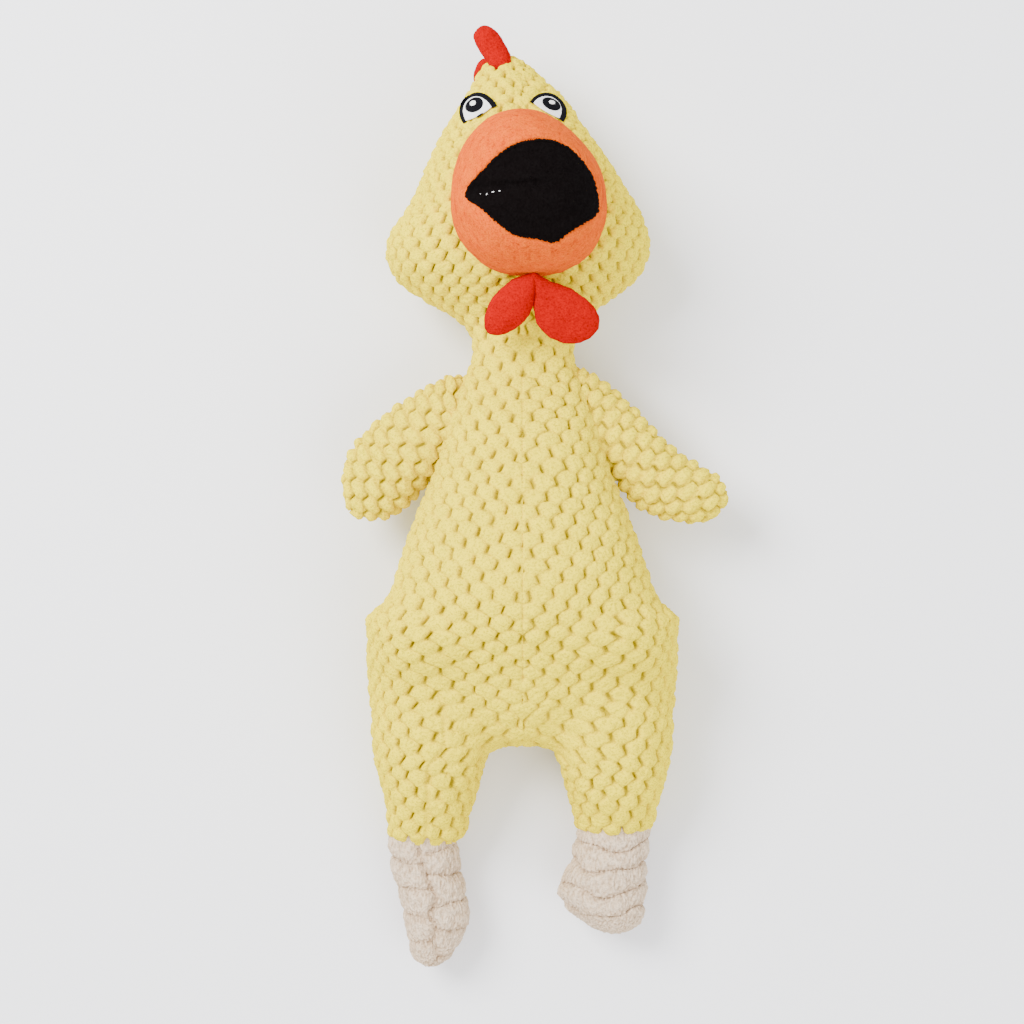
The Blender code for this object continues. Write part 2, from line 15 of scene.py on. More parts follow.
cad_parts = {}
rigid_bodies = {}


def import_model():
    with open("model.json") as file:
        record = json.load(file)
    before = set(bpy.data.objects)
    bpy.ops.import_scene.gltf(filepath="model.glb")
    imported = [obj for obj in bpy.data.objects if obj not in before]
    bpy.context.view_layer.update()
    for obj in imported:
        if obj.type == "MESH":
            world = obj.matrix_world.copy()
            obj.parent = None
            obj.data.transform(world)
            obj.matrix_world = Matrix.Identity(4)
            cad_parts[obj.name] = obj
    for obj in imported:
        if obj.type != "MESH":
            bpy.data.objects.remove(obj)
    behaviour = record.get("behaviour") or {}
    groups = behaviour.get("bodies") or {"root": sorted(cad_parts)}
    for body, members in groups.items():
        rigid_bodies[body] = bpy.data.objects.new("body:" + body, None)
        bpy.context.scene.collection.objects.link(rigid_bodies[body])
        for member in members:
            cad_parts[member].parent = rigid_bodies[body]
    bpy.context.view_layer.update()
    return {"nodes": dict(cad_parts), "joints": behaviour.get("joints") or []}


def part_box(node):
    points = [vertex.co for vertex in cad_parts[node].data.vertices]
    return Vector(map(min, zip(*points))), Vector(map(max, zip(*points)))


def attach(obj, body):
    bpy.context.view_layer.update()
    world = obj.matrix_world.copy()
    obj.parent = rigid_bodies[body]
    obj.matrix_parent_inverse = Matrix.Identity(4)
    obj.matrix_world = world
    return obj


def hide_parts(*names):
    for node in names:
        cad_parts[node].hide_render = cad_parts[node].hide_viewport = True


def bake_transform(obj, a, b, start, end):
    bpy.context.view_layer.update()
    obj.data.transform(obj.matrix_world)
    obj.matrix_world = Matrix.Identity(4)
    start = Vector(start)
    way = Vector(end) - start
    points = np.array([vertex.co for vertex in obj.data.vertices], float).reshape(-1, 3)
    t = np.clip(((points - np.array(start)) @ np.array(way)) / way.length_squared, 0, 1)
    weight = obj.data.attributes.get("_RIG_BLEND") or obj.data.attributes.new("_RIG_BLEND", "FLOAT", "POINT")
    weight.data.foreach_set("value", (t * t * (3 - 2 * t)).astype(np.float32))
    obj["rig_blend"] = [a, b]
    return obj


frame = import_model()
NODES = frame["nodes"]
MM = 0.001
JOINTS = {j["name"]: j for j in frame["joints"]}
CENTRE_X = JOINTS["neck_nod"]["pos_m"][0]
NECK_Y = JOINTS["neck_nod"]["pos_m"][1]
HEAD_Y = JOINTS["head_turn"]["pos_m"][1]
HIP_Y = JOINTS["thigh_left_swing"]["pos_m"][1]
ANKLE_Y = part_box("thigh_left_front_cover")[0].y
JOWL_Y = HEAD_Y - 9 * MM    # the jowls start here, under the seam between the head and the neck
FLOOR = 0.0004

# ---------------------------------------------------------------- the fabric's own sizes, metres
PUFF_PITCH = 9.9 * MM      # from one slit to the next along a row
ROW_PITCH = 5.8 * MM
ROW_TILT = math.radians(10)  # rows rise away from the front seam
PUFF_HEIGHT = 2.8 * MM
VOXEL = 4.0 * MM
SUBDIVISIONS = 3


# ================================================================ mesh tools
def co_of(mesh):
    co = np.empty(len(mesh.vertices) * 3)
    mesh.vertices.foreach_get("co", co)
    return co.reshape(-1, 3)


def set_co(mesh, co):
    mesh.vertices.foreach_set("co", np.ascontiguousarray(co, np.float32).ravel())
    mesh.update()


def normals_of(mesh):
    n = np.empty(len(mesh.vertices) * 3, np.float32)
    mesh.vertices.foreach_get("normal", n)
    return n.reshape(-1, 3).astype(float)


def new_object(name, points, faces):
    mesh = bpy.data.meshes.new(name)
    mesh.from_pydata([tuple(p) for p in points], [], faces)
    work = bmesh.new()
    work.from_mesh(mesh)
    bmesh.ops.recalc_face_normals(work, faces=work.faces)
    work.to_mesh(mesh)
    work.free()
    made = bpy.data.objects.new(name, mesh)
    bpy.context.scene.collection.objects.link(made)
    return made


def apply_all(obj):
    """Makes what the modifiers give the object's own mesh."""
    graph = bpy.context.evaluated_depsgraph_get()
    done = bpy.data.meshes.new_from_object(obj.evaluated_get(graph))
    obj.modifiers.clear()
    old, obj.data = obj.data, done
    bpy.data.meshes.remove(old)
    return obj


def remesh(obj, size):
    step = obj.modifiers.new("remesh", "REMESH")
    step.mode, step.voxel_size = "VOXEL", size
    return apply_all(obj)


def subdivide(obj, levels):
    step = obj.modifiers.new("subdivide", "SUBSURF")
    step.levels = step.render_levels = levels
    return apply_all(obj)


def smooth(obj, rounds, factor=0.5):
    step = obj.modifiers.new("smooth", "SMOOTH")
    step.factor, step.iterations = factor, rounds
    return apply_all(obj)


def joined(name, objects):
    """One mesh of several closed ones, which a voxel remesh then fuses."""
    points, faces = [], []
    for obj in objects:
        base = len(points)
        points += [tuple(v.co) for v in obj.data.vertices]
        faces += [tuple(base + i for i in p.vertices) for p in obj.data.polygons]
        bpy.data.objects.remove(obj)
    return new_object(name, points, faces)


def smoothstep(low, high, x):
    t = np.clip((x - low) / (high - low), 0, 1)
    return t * t * (3 - 2 * t)


def value_noise(co, scale, seed=0.0):
    """Smooth noise in -1..1 at a length scale."""
    shift = Vector((seed * 3.1, seed * 1.7, seed * 2.3))
    return np.array([noise.noise(Vector(p) / scale + shift) for p in co])


# ================================================================ tubes from the CAD covers
def sections(nodes, origin, along, across):
    """The cross-sections of CAD covers along a direction: (reach, middle, half width, half height, height)."""
    along, across = np.array(along), np.array(across)
    co = np.concatenate([co_of(NODES[n].data) for n in nodes]) - np.array(origin)
    reach = co @ along
    rows = []
    for level in np.unique(np.round(reach, 4)):
        here = co[np.abs(reach - level) < 1e-4]
        side, tall = here @ across, here[:, 2] + origin[2]
        if len(here) < 8:
            continue
        rows.append((level, (side.max() + side.min()) / 2, (side.max() - side.min()) / 2,
                     (tall.max() - tall.min()) / 2, (tall.max() + tall.min()) / 2))
    return rows


def tube(name, rows, origin, along, across, parts=40, power=2.2):
    """A closed soft tube through rounded sections."""
    points, faces = [], []
    for reach, middle, half_width, half_height, height in rows:
        for i in range(parts):
            turn = 2 * math.pi * i / parts
            c, s = math.cos(turn), math.sin(turn)
            wide = middle + math.copysign(abs(c) ** (2 / power), c) * half_width
            tall = height + math.copysign(abs(s) ** (2 / power), s) * half_height
            points.append(Vector(origin) * 1 + Vector(along) * reach + Vector(across) * wide
                          + Vector((0, 0, tall - origin[2])))
    for r in range(len(rows) - 1):
        faces += [(r * parts + i, r * parts + (i + 1) % parts, (r + 1) * parts + (i + 1) % parts, (r + 1) * parts + i)
                  for i in range(parts)]
    faces += [tuple(range(parts)), tuple(range(len(points) - parts, len(points)))]
    return new_object(name, points, faces)


def straight(rows, first, last):
    """Rows between two reaches."""
    return [row for row in rows if first <= row[0] <= last]


ORIGIN = (CENTRE_X, 0.0, 0.0)
ALONG, ACROSS = (0, 1, 0), (1, 0, 0)


# the crown above the face: Y, middle from the centre line, half width, half height and height, in mm
CROWN = [(175.5, -5.8, 17.2, 18, 34), (182.5, -7.2, 11.2, 14, 34), (187.8, -6.8, 6.0, 8, 34)]


def hem_y(side):
    """Where a trouser leg's hem lies over its foot; the left one is pulled down further."""
    return ANKLE_Y - (3.5 * MM if side == "left" else 0.0)


def fuller(rows):
    """The trunk's sections, close together, with the plush's jowls hanging a little over a slimmer neck."""
    table = np.array(rows)
    y = np.arange(table[0, 0], table[-1, 0], 4 * MM)
    y = np.append(y, table[-1, 0])
    level, middle, wide, tall, height = [np.interp(y, table[:, 0], table[:, k]) for k in range(5)]
    above = (y - 83.5 * MM) / MM
    jowl = 14.2 * MM * np.exp(-(above / np.where(above > 0, 14.0, 7.2)) ** 2)
    slim = 2.4 * MM * smoothstep(48 * MM, 56 * MM, y) * (1 - smoothstep(68 * MM, 74 * MM, y))
    cheek = 1.3 * MM * np.exp(-((y - 122 * MM) / (9 * MM)) ** 2)    # its left cheek is a little flatter
    brow = 1.6 * MM * np.exp(-((y - 157 * MM) / (12 * MM)) ** 2)     # and so is its right temple
    wide = wide + 0.81 * jowl - slim - cheek - brow
    middle = middle - 0.15 * jowl + 0.2 * slim + cheek - brow
    tall = tall + 0.15 * jowl
    return [tuple(row) for row in zip(level, middle, wide, tall, height)]


def body_bag():
    """One closed surface round the head, neck, torso, crotch and thighs."""
    torso = sections(["torso_front_left_cover", "torso_front_right_cover", "torso_back_cover"], ORIGIN, ALONG, ACROSS)
    neck = sections(["neck_front_cover", "neck_back_cover"], ORIGIN, ALONG, ACROSS)
    head = sections(["head_front_cover", "head_back_cover"], ORIGIN, ALONG, ACROSS)
    bottom, top = torso[0][0], torso[-1][0]
    waist = straight(torso, bottom + 12 * MM, top)
    wide = max(row[2] for row in torso)
    crotch = [(bottom - 25 * MM, 0, wide * 0.14, 9 * MM, 26 * MM), (bottom - 19 * MM, 0, wide * 0.30, 18 * MM, 28 * MM),
              (bottom - 6 * MM, 0, wide * 0.62, 26 * MM, 30 * MM)]
    crown = [tuple(c * MM for c in row) for row in CROWN]
    face = [row for row in head if row[0] < crown[0][0] - 1 * MM]
    pieces = [tube("trunk", crotch + fuller(waist + straight(neck, NECK_Y, 1) + face + crown), ORIGIN, ALONG, ACROSS)]
    for side, sign in (("left", -1), ("right", 1)):
        rows = sections([f"thigh_{side}_front_cover", f"thigh_{side}_back_cover"], ORIGIN, ALONG, ACROSS)
        leg = straight(rows, ANKLE_Y + 8 * MM, HIP_Y + 1 * MM)
        hip, middle = leg[-1], leg[0][1] - (1.5 * MM if side == "left" else 0)
        hem = hem_y(side)
        leg = [(hem - 8 * MM, middle, 16.2 * MM, 15.5 * MM, 18 * MM), (hem - 1 * MM, middle, 16.8 * MM, 16.4 * MM, 18.5 * MM),
               (hem + 7 * MM, middle, 18.2 * MM, 17.5 * MM, 20 * MM)] + straight(leg, hem + 12 * MM, 1)
        reach = bottom + 28 * MM
        for row in straight(torso, bottom + 3 * MM, reach):
            part = (row[0] - hip[0]) / (reach - hip[0])
            half = (1 - part) * hip[2] + part * row[2] * 0.52
            leg.append((row[0], sign * (row[2] - half + 0.6 * MM * (1 - part)), half, max(row[3], hip[3]), max(row[4], hip[4])))
        last = leg[-1]
        leg.append((last[0] + 5 * MM, last[1] + sign * 2.0 * MM, last[2], last[3] * 0.93, last[4]))
        leg.append((last[0] + 9 * MM, last[1] + sign * 1.6 * MM, last[2] * 0.96, last[3] * 0.86, last[4]))
        pieces.append(tube("leg_" + side, leg, ORIGIN, ALONG, ACROSS))
    bag = remesh(joined("bag", pieces), VOXEL)
    return smooth(bag, 5)


def inflate(obj, pressure=4.0, frames=20, cap=2.2 * MM, ease=1.0 * MM, shrink=-0.04):
    """Puffs a bag up with air, limits how far any point may move, and eases it back to its cut size."""
    before, inward = co_of(obj.data), normals_of(obj.data) * -ease
    scene = bpy.context.scene
    for layer in bpy.context.view_layer.objects:
        layer.select_set(False)
    cloth = obj.modifiers.new("cloth", "CLOTH")
    s = cloth.settings
    s.quality, s.mass = 6, 0.2
    s.tension_stiffness = s.compression_stiffness = 12
    s.shear_stiffness, s.bending_stiffness = 6, 0.3
    s.use_pressure, s.uniform_pressure_force = True, pressure
    s.shrink_min = shrink
    s.effector_weights.gravity = 0
    cloth.point_cache.frame_start, cloth.point_cache.frame_end = 1, frames
    for number in range(1, frames + 1):
        scene.frame_set(number)
    graph = bpy.context.evaluated_depsgraph_get()
    puffed = obj.evaluated_get(graph).to_mesh()
    after = co_of(puffed)
    obj.evaluated_get(graph).to_mesh_clear()
    obj.modifiers.clear()
    scene.frame_set(1)
    move = after - before
    size = np.linalg.norm(move, axis=1, keepdims=True)
    move *= np.minimum(1, cap / np.maximum(size, 1e-9))
    set_co(obj.data, before + move + inward)
    return obj


# ================================================================ pineapple-grid plush
def scatter(row, column, seed):
    """An even spread of numbers in -1..1, one for each puff."""
    return 2 * np.mod(np.sin(row * 12.9898 + column * 78.233 + seed * 37.719) * 43758.5453, 1) - 1


def puffs(u, v, tilt, pitch=PUFF_PITCH, row_pitch=ROW_PITCH):
    """Puffs in offset rows: height 0..1, 0..1 for the slits between neighbours and for the fine lines that join
    the slits of two rows, and the way to a row's edge."""
    c, s = math.cos(tilt), math.sin(tilt)
    x, y = (c * u + s * v) / pitch, (-s * u + c * v) / row_pitch
    height, slit, line = np.zeros_like(x), np.zeros_like(x), np.zeros_like(x)
    reach = np.array((-0.5 * pitch, -0.36 * row_pitch))
    for step in (-1, 0, 1, 2):
        row = np.floor(y) + step
        offset = np.mod(row, 2) * 0.5
        column = np.round(x - offset)
        across, up = x - offset - column, y - row
        wide = 0.57 + 0.02 * scatter(row, column, 1)
        bump = 1 - (np.abs(across - 0.02 * scatter(row, column, 2)) / wide) ** 2.5 - (np.abs(up) / 0.97) ** 2.1
        height = np.maximum(height, bump * (1 + 0.10 * scatter(row, column, 3)))
        between = column + 0.5 * np.sign(across)
        lean = 0.20 + 0.16 * scatter(row, between, 4)
        gap = (across - 0.5 * np.sign(across)) * pitch + lean * up * row_pitch
        broad = (0.62 + 0.16 * scatter(row, between, 5)) * MM
        tall = (2.0 + 0.5 * scatter(row, between, 6)) * MM
        deep = 0.85 + 0.15 * scatter(row, between, 7)
        slit = np.maximum(slit, deep * np.exp(-(gap / broad) ** 2 - (up * row_pitch / tall) ** 4))
        ax, ay = (across - 0.5) * pitch, (up + 0.32) * row_pitch
        share = np.clip((ax * reach[0] + ay * reach[1]) / (reach @ reach), 0, 1)
        away = np.hypot(ax - share * reach[0], ay - share * reach[1] - 0.7 * MM * np.sin(math.pi * share))
        faint = 0.72 + 0.28 * scatter(row, column, 8)
        line = np.maximum(line, faint * np.exp(-(away / (0.46 * MM)) ** 2))
    edge = np.abs(np.mod(y, 1) - 0.5) * row_pitch
    return np.clip(height, 0, 1), slit, line, edge


def arc_length(angle, half_width, half_height):
    """How far round an oval section from its front to a parametric angle."""
    steps = np.linspace(0, 1, 25)
    grid = angle[:, None] * steps[None, :]
    speed = np.sqrt((half_width[:, None] * np.cos(grid)) ** 2 + (half_height[:, None] * np.sin(grid)) ** 2)
    return np.trapezoid(speed, grid, axis=1) if hasattr(np, "trapezoid") else np.trapz(speed, grid, axis=1)


def profile(co, low, high, step=2 * MM):
    """Middle, half width, half height and height of a shape's sections, as tables over Y."""
    edges = np.arange(low, high + step, step)
    table = []
    for y in edges:
        here = co[np.abs(co[:, 1] - y) < step * 1.3]
        if len(here) < 6:
            table.append(table[-1] if table else (0, 1, 1, 0))
            continue
        table.append(((here[:, 0].max() + here[:, 0].min()) / 2, (here[:, 0].max() - here[:, 0].min()) / 2,
                      (here[:, 2].max() - here[:, 2].min()) / 2, (here[:, 2].max() + here[:, 2].min()) / 2))
    table = np.array(table)
    kernel = np.ones(5) / 5
    for k in range(4):
        padded = np.pad(table[:, k], 2, mode="edge")
        table[:, k] = np.convolve(padded, kernel, mode="valid")
    return edges, table


def around(co, edges, table):
    """Parametric angle from the front, and the lengths round and along the surface."""
    middle, wide, tall, height = [np.interp(co[:, 1], edges, table[:, k]) for k in range(4)]
    angle = np.arctan2((co[:, 0] - middle) / wide, (co[:, 2] - height) / tall)
    back = np.abs(angle) > math.pi / 2
    folded = np.where(back, np.sign(angle) * math.pi - angle, angle)
    u = arc_length(folded, wide, tall)
    side_run = np.concatenate([[0], np.cumsum(np.hypot(np.diff(edges), np.diff(table[:, 1])))])
    front_run, back_run = [np.concatenate([[0], np.cumsum(np.hypot(np.diff(edges), np.diff(table[:, 3] + way * table[:, 2])))])
                           for way in (1, -1)]
    share = np.sin(folded) ** 2
    middle_run = np.where(back, np.interp(co[:, 1], edges, back_run), np.interp(co[:, 1], edges, front_run))
    v = np.interp(co[:, 1], edges, side_run) * share + middle_run * (1 - share)
    return angle, back, u, v


def plush(obj, u, v, mirrored, seams, tilt=ROW_TILT, calm=1.0, height=PUFF_HEIGHT, pitch=PUFF_PITCH,
          row_pitch=ROW_PITCH, groove=1.1 * MM, ribs=0.0):
    """Raises the puffs on a mesh from its lengths round and along, with a groove at each seam."""
    co, n = co_of(obj.data), normals_of(obj.data)
    u = u + value_noise(co, 24 * MM, 1.0) * 1.3 * MM + value_noise(co, 8 * MM, 7.0) * 0.5 * MM
    v = v + value_noise(co, 24 * MM, 5.0) * 1.3 * MM + value_noise(co, 8 * MM, 8.0) * 0.5 * MM
    lift, slit, line, edge = puffs(np.where(mirrored, -u, u), v, tilt, pitch, row_pitch)
    shape = lift ** 0.75
    pinch = 1 - smoothstep(0.0, 2.0 * MM, seams)
    grain, clump = value_noise(co, 1.25 * MM, 2.0), value_noise(co, 3.0 * MM, 3.0)
    furrow = ribs * np.exp(-(edge / (0.9 * MM)) ** 2)
    rise = (height * ((shape - 0.75) - 0.8 * slit - 0.3 * line) - furrow) * (1 - 0.6 * pinch) * calm - groove * pinch * calm
    rise += 0.36 * MM * grain + 0.40 * MM * clump * (1 + 0.8 * pinch)
    co = co + n * rise[:, None]
    co[:, 2] = np.maximum(co[:, 2], FLOOR)
    set_co(obj.data, co)
    # Painted shade: darker colour where the puffs fall away, in the slits, along the fine lines and ribs, near the
    # seams, and a little with the clumps.
    depth = np.clip((1 - shape) * 0.55 + 0.95 * slit + 0.72 * line + 0.2 * furrow / MM, 0, 1)
    depth = depth * (1 - 0.45 * pinch) * calm + 0.15 * pinch
    paint_shade_map(obj, depth + 0.06 * clump)


# Stores the painted shade per point: 0 where the pile stands up in the light, up to 1 in slits, valleys, creases and
# seams; the plush material darkens its colour with it.
def paint_shade_map(obj, depth):
    obj.data.attributes.new("depth", "FLOAT", "POINT").data.foreach_set("value", depth.astype(np.float32))


def cut(obj, name, keep):
    """A new object of the faces whose centre passes the test, with shared border points kept."""
    mesh = obj.data
    co = co_of(mesh)
    counts = np.empty(len(mesh.polygons), int)
    mesh.polygons.foreach_get("loop_total", counts)
    corners = np.empty(len(mesh.loops), int)
    mesh.loops.foreach_get("vertex_index", corners)
    starts = np.concatenate([[0], np.cumsum(counts)[:-1]])
    centres = np.add.reduceat(co[corners], starts, axis=0) / counts[:, None]
    chosen = keep(centres)
    used_loops = np.repeat(chosen, counts)
    used, new_index = np.unique(corners[used_loops], return_inverse=True)
    made = bpy.data.meshes.new(name)
    made.vertices.add(len(used))
    made.vertices.foreach_set("co", co[used].astype(np.float32).ravel())
    kept = counts[chosen]
    made.loops.add(int(kept.sum()))
    made.loops.foreach_set("vertex_index", new_index.astype(np.int32))
    made.polygons.add(len(kept))
    made.polygons.foreach_set("loop_start", np.concatenate([[0], np.cumsum(kept)[:-1]]).astype(np.int32))
    made.update(calc_edges=True)
    for source in mesh.attributes:
        if source.name == "depth":
            values = np.empty(len(co), np.float32)
            source.data.foreach_get("value", values)
            made.attributes.new("depth", "FLOAT", "POINT").data.foreach_set("value", values[used])
    made.validate()
    piece = bpy.data.objects.new(name, made)
    bpy.context.scene.collection.objects.link(piece)
    made.shade_smooth()
    return piece


# ================================================================ materials
def nodes_of(name):
    made = bpy.data.materials.new(name)
    made.use_nodes = True
    tree = made.node_tree
    return made, tree, tree.nodes["Principled BSDF"]


def link(tree, a, b):
    tree.links.new(a, b)


def noise_node(tree, scale, detail=3.0, roughness=0.6, stretch=None):
    where = tree.nodes.get("where") or tree.nodes.new("ShaderNodeTexCoord")
    where.name = "where"
    source = where.outputs["Object"]
    if stretch:
        turned = tree.nodes.new("ShaderNodeMapping")
        turned.inputs["Rotation"].default_value = (0, 0, 0.35)
        turned.inputs["Scale"].default_value = stretch
        link(tree, source, turned.inputs["Vector"])
        source = turned.outputs["Vector"]
    made = tree.nodes.new("ShaderNodeTexNoise")
    made.inputs["Scale"].default_value = scale
    made.inputs["Detail"].default_value = detail
    made.inputs["Roughness"].default_value = roughness
    link(tree, source, made.inputs["Vector"])
    return made


def ramp(tree, source, stops):
    made = tree.nodes.new("ShaderNodeValToRGB")
    while len(made.color_ramp.elements) < len(stops):
        made.color_ramp.elements.new(0.5)
    for element, (place, colour) in zip(made.color_ramp.elements, stops):
        element.position = place
        element.color = (*colour, 1)
    link(tree, source, made.inputs["Fac"])
    return made.outputs["Color"]


def mix(tree, kind, factor, one, two):
    made = tree.nodes.new("ShaderNodeMix")
    made.data_type, made.blend_type = "RGBA", kind
    if isinstance(factor, (int, float)):
        made.inputs["Factor"].default_value = factor
    else:
        link(tree, factor, made.inputs["Factor"])
    for socket, value in ((made.inputs[6], one), (made.inputs[7], two)):
        if isinstance(value, tuple):
            socket.default_value = (*value, 1)
        else:
            link(tree, value, socket)
    return made.outputs[2]


def pile_bump(tree, shader, scale, strength, distance):
    grain = noise_node(tree, scale, 4.0, 0.7)
    bump = tree.nodes.new("ShaderNodeBump")
    bump.inputs["Strength"].default_value = strength
    bump.inputs["Distance"].default_value = distance
    link(tree, grain.outputs["Fac"], bump.inputs["Height"])
    link(tree, bump.outputs["Normal"], shader.inputs["Normal"])


def plush_material(name, light, body, deep, grain=1000, bump=0.6, fleck=0.62, stroke=0.0):
    """Pile fabric with painted light and shade: the light colour on raised pile and a deeper colour painted as shade in
    the slits, valleys and seams, following the shade attribute; mottled by the lie of the pile.
    """
    made, tree, shader = nodes_of(name)
    depth = tree.nodes.new("ShaderNodeAttribute")
    depth.attribute_name = "depth"
    # Painted light and shade: the light colour on raised pile, the body colour between, and the deep colour as painted
    # shade in slits and creases.
    base = ramp(tree, depth.outputs["Fac"], [(0.05, light), (0.34, body), (0.85, deep)])
    lie = noise_node(tree, 130, 2.0)
    shade = ramp(tree, lie.outputs["Fac"], [(0.35, (0.93, 0.93, 0.93)), (0.65, (1.0, 1.0, 1.0))])
    fine = noise_node(tree, grain, 3.0, 0.8)
    speck = ramp(tree, fine.outputs["Fac"], [(0.36, (fleck, fleck, fleck)), (0.53, (1.0, 1.0, 1.0))])
    colour = mix(tree, "MULTIPLY", 1.0, base, shade)
    colour = mix(tree, "MULTIPLY", 1.0, colour, speck)
    if stroke:
        brushed = noise_node(tree, 420, 2.0, 0.6, (1.0, 0.28, 1.0))
        hairs = ramp(tree, brushed.outputs["Fac"], [(0.56, (1.0, 1.0, 1.0)), (0.68, (1 - stroke, 1 - 1.6 * stroke, 1.0))])
        colour = mix(tree, "MULTIPLY", 1.0, colour, hairs)
    link(tree, colour, shader.inputs["Base Color"])
    shader.inputs["Roughness"].default_value = 0.95
    shader.inputs["Specular IOR Level"].default_value = 0.02
    pile_bump(tree, shader, grain, bump, 0.0008)
    return made


# Each plush gets a light colour for raised pile, its body colour, and a deep colour that is painted shade for its slits
# and creases.
MATERIALS = {
    "yellow": plush_material("yellow_plush", (0.92, 0.73, 0.001), (0.87, 0.665, 0.0), (0.50, 0.38, 0.0)),
    "orange": plush_material("orange_plush", (0.80, 0.13, 0.003), (0.70, 0.09, 0.0), (0.50, 0.05, 0.0), grain=1500,
                             stroke=0.22),
    "black": plush_material("black_plush", (0.004, 0.003, 0.003), (0.003, 0.002, 0.002), (0.001, 0.001, 0.001),
                            grain=1500),
    "red": plush_material("red_plush", (0.44, 0.0, 0.0), (0.37, 0.0, 0.0), (0.20, 0.0, 0.0), grain=1500),
    "beige": plush_material("beige_plush", (0.72, 0.56, 0.40), (0.60, 0.44, 0.29), (0.36, 0.24, 0.14)),
    "white": plush_material("white_thread", (0.9, 0.9, 0.88), (0.86, 0.86, 0.85), (0.6, 0.6, 0.6), grain=1500,
                            fleck=0.85),
    "thread": plush_material("black_thread", (0.006, 0.006, 0.008), (0.005, 0.005, 0.007), (0.003, 0.003, 0.003),
                             grain=1500),
}


def paint_cad(names, colour, roughness, texture=220):
    """A plain procedural finish for a CAD node that stays."""
    made, tree, shader = nodes_of("inner_" + names[0])
    grain = noise_node(tree, texture, 4.0)
    tone = ramp(tree, grain.outputs["Fac"], [(0.3, tuple(c * 0.85 for c in colour)), (0.7, colour)])
    link(tree, tone, shader.inputs["Base Color"])
    shader.inputs["Roughness"].default_value = roughness
    pile_bump(tree, shader, texture * 3, 0.3, 0.0004)
    for name in names:
        NODES[name].data.materials.clear()
        NODES[name].data.materials.append(made)


def part_nodes(start):
    """The CAD nodes of one sewn part: its covers and its stuffing."""
    return [name for name in NODES if name.startswith(start)]


def finish(obj, paint, replaced=()):
    obj.data.materials.clear()
    obj.data.materials.append(MATERIALS[paint])
    if replaced:
        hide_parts(*replaced)
    return obj


SIDE_Z = 34 * MM     # the side seams lie at this height


# ================================================================ the body
def turn_hems(bag):
    """Draws the plush in a little at each ankle, where it is sewn over the foot's sleeve."""
    co = co_of(bag.data)
    for side, sign in (("left", -1), ("right", 1)):
        hem = hem_y(side)
        mine = ((co[:, 0] - CENTRE_X) * sign > 0) & (co[:, 1] < hem + 3 * MM)
        if not mine.any():
            continue
        middle = (co[mine].max(0) + co[mine].min(0)) / 2
        draw = 1 - 0.24 * smoothstep(-3.2 * MM, 0.9 * MM, hem - co[mine, 1])
        for k in (0, 2):
            co[mine, k] = middle[k] + (co[mine, k] - middle[k]) * draw
    set_co(bag.data, co)


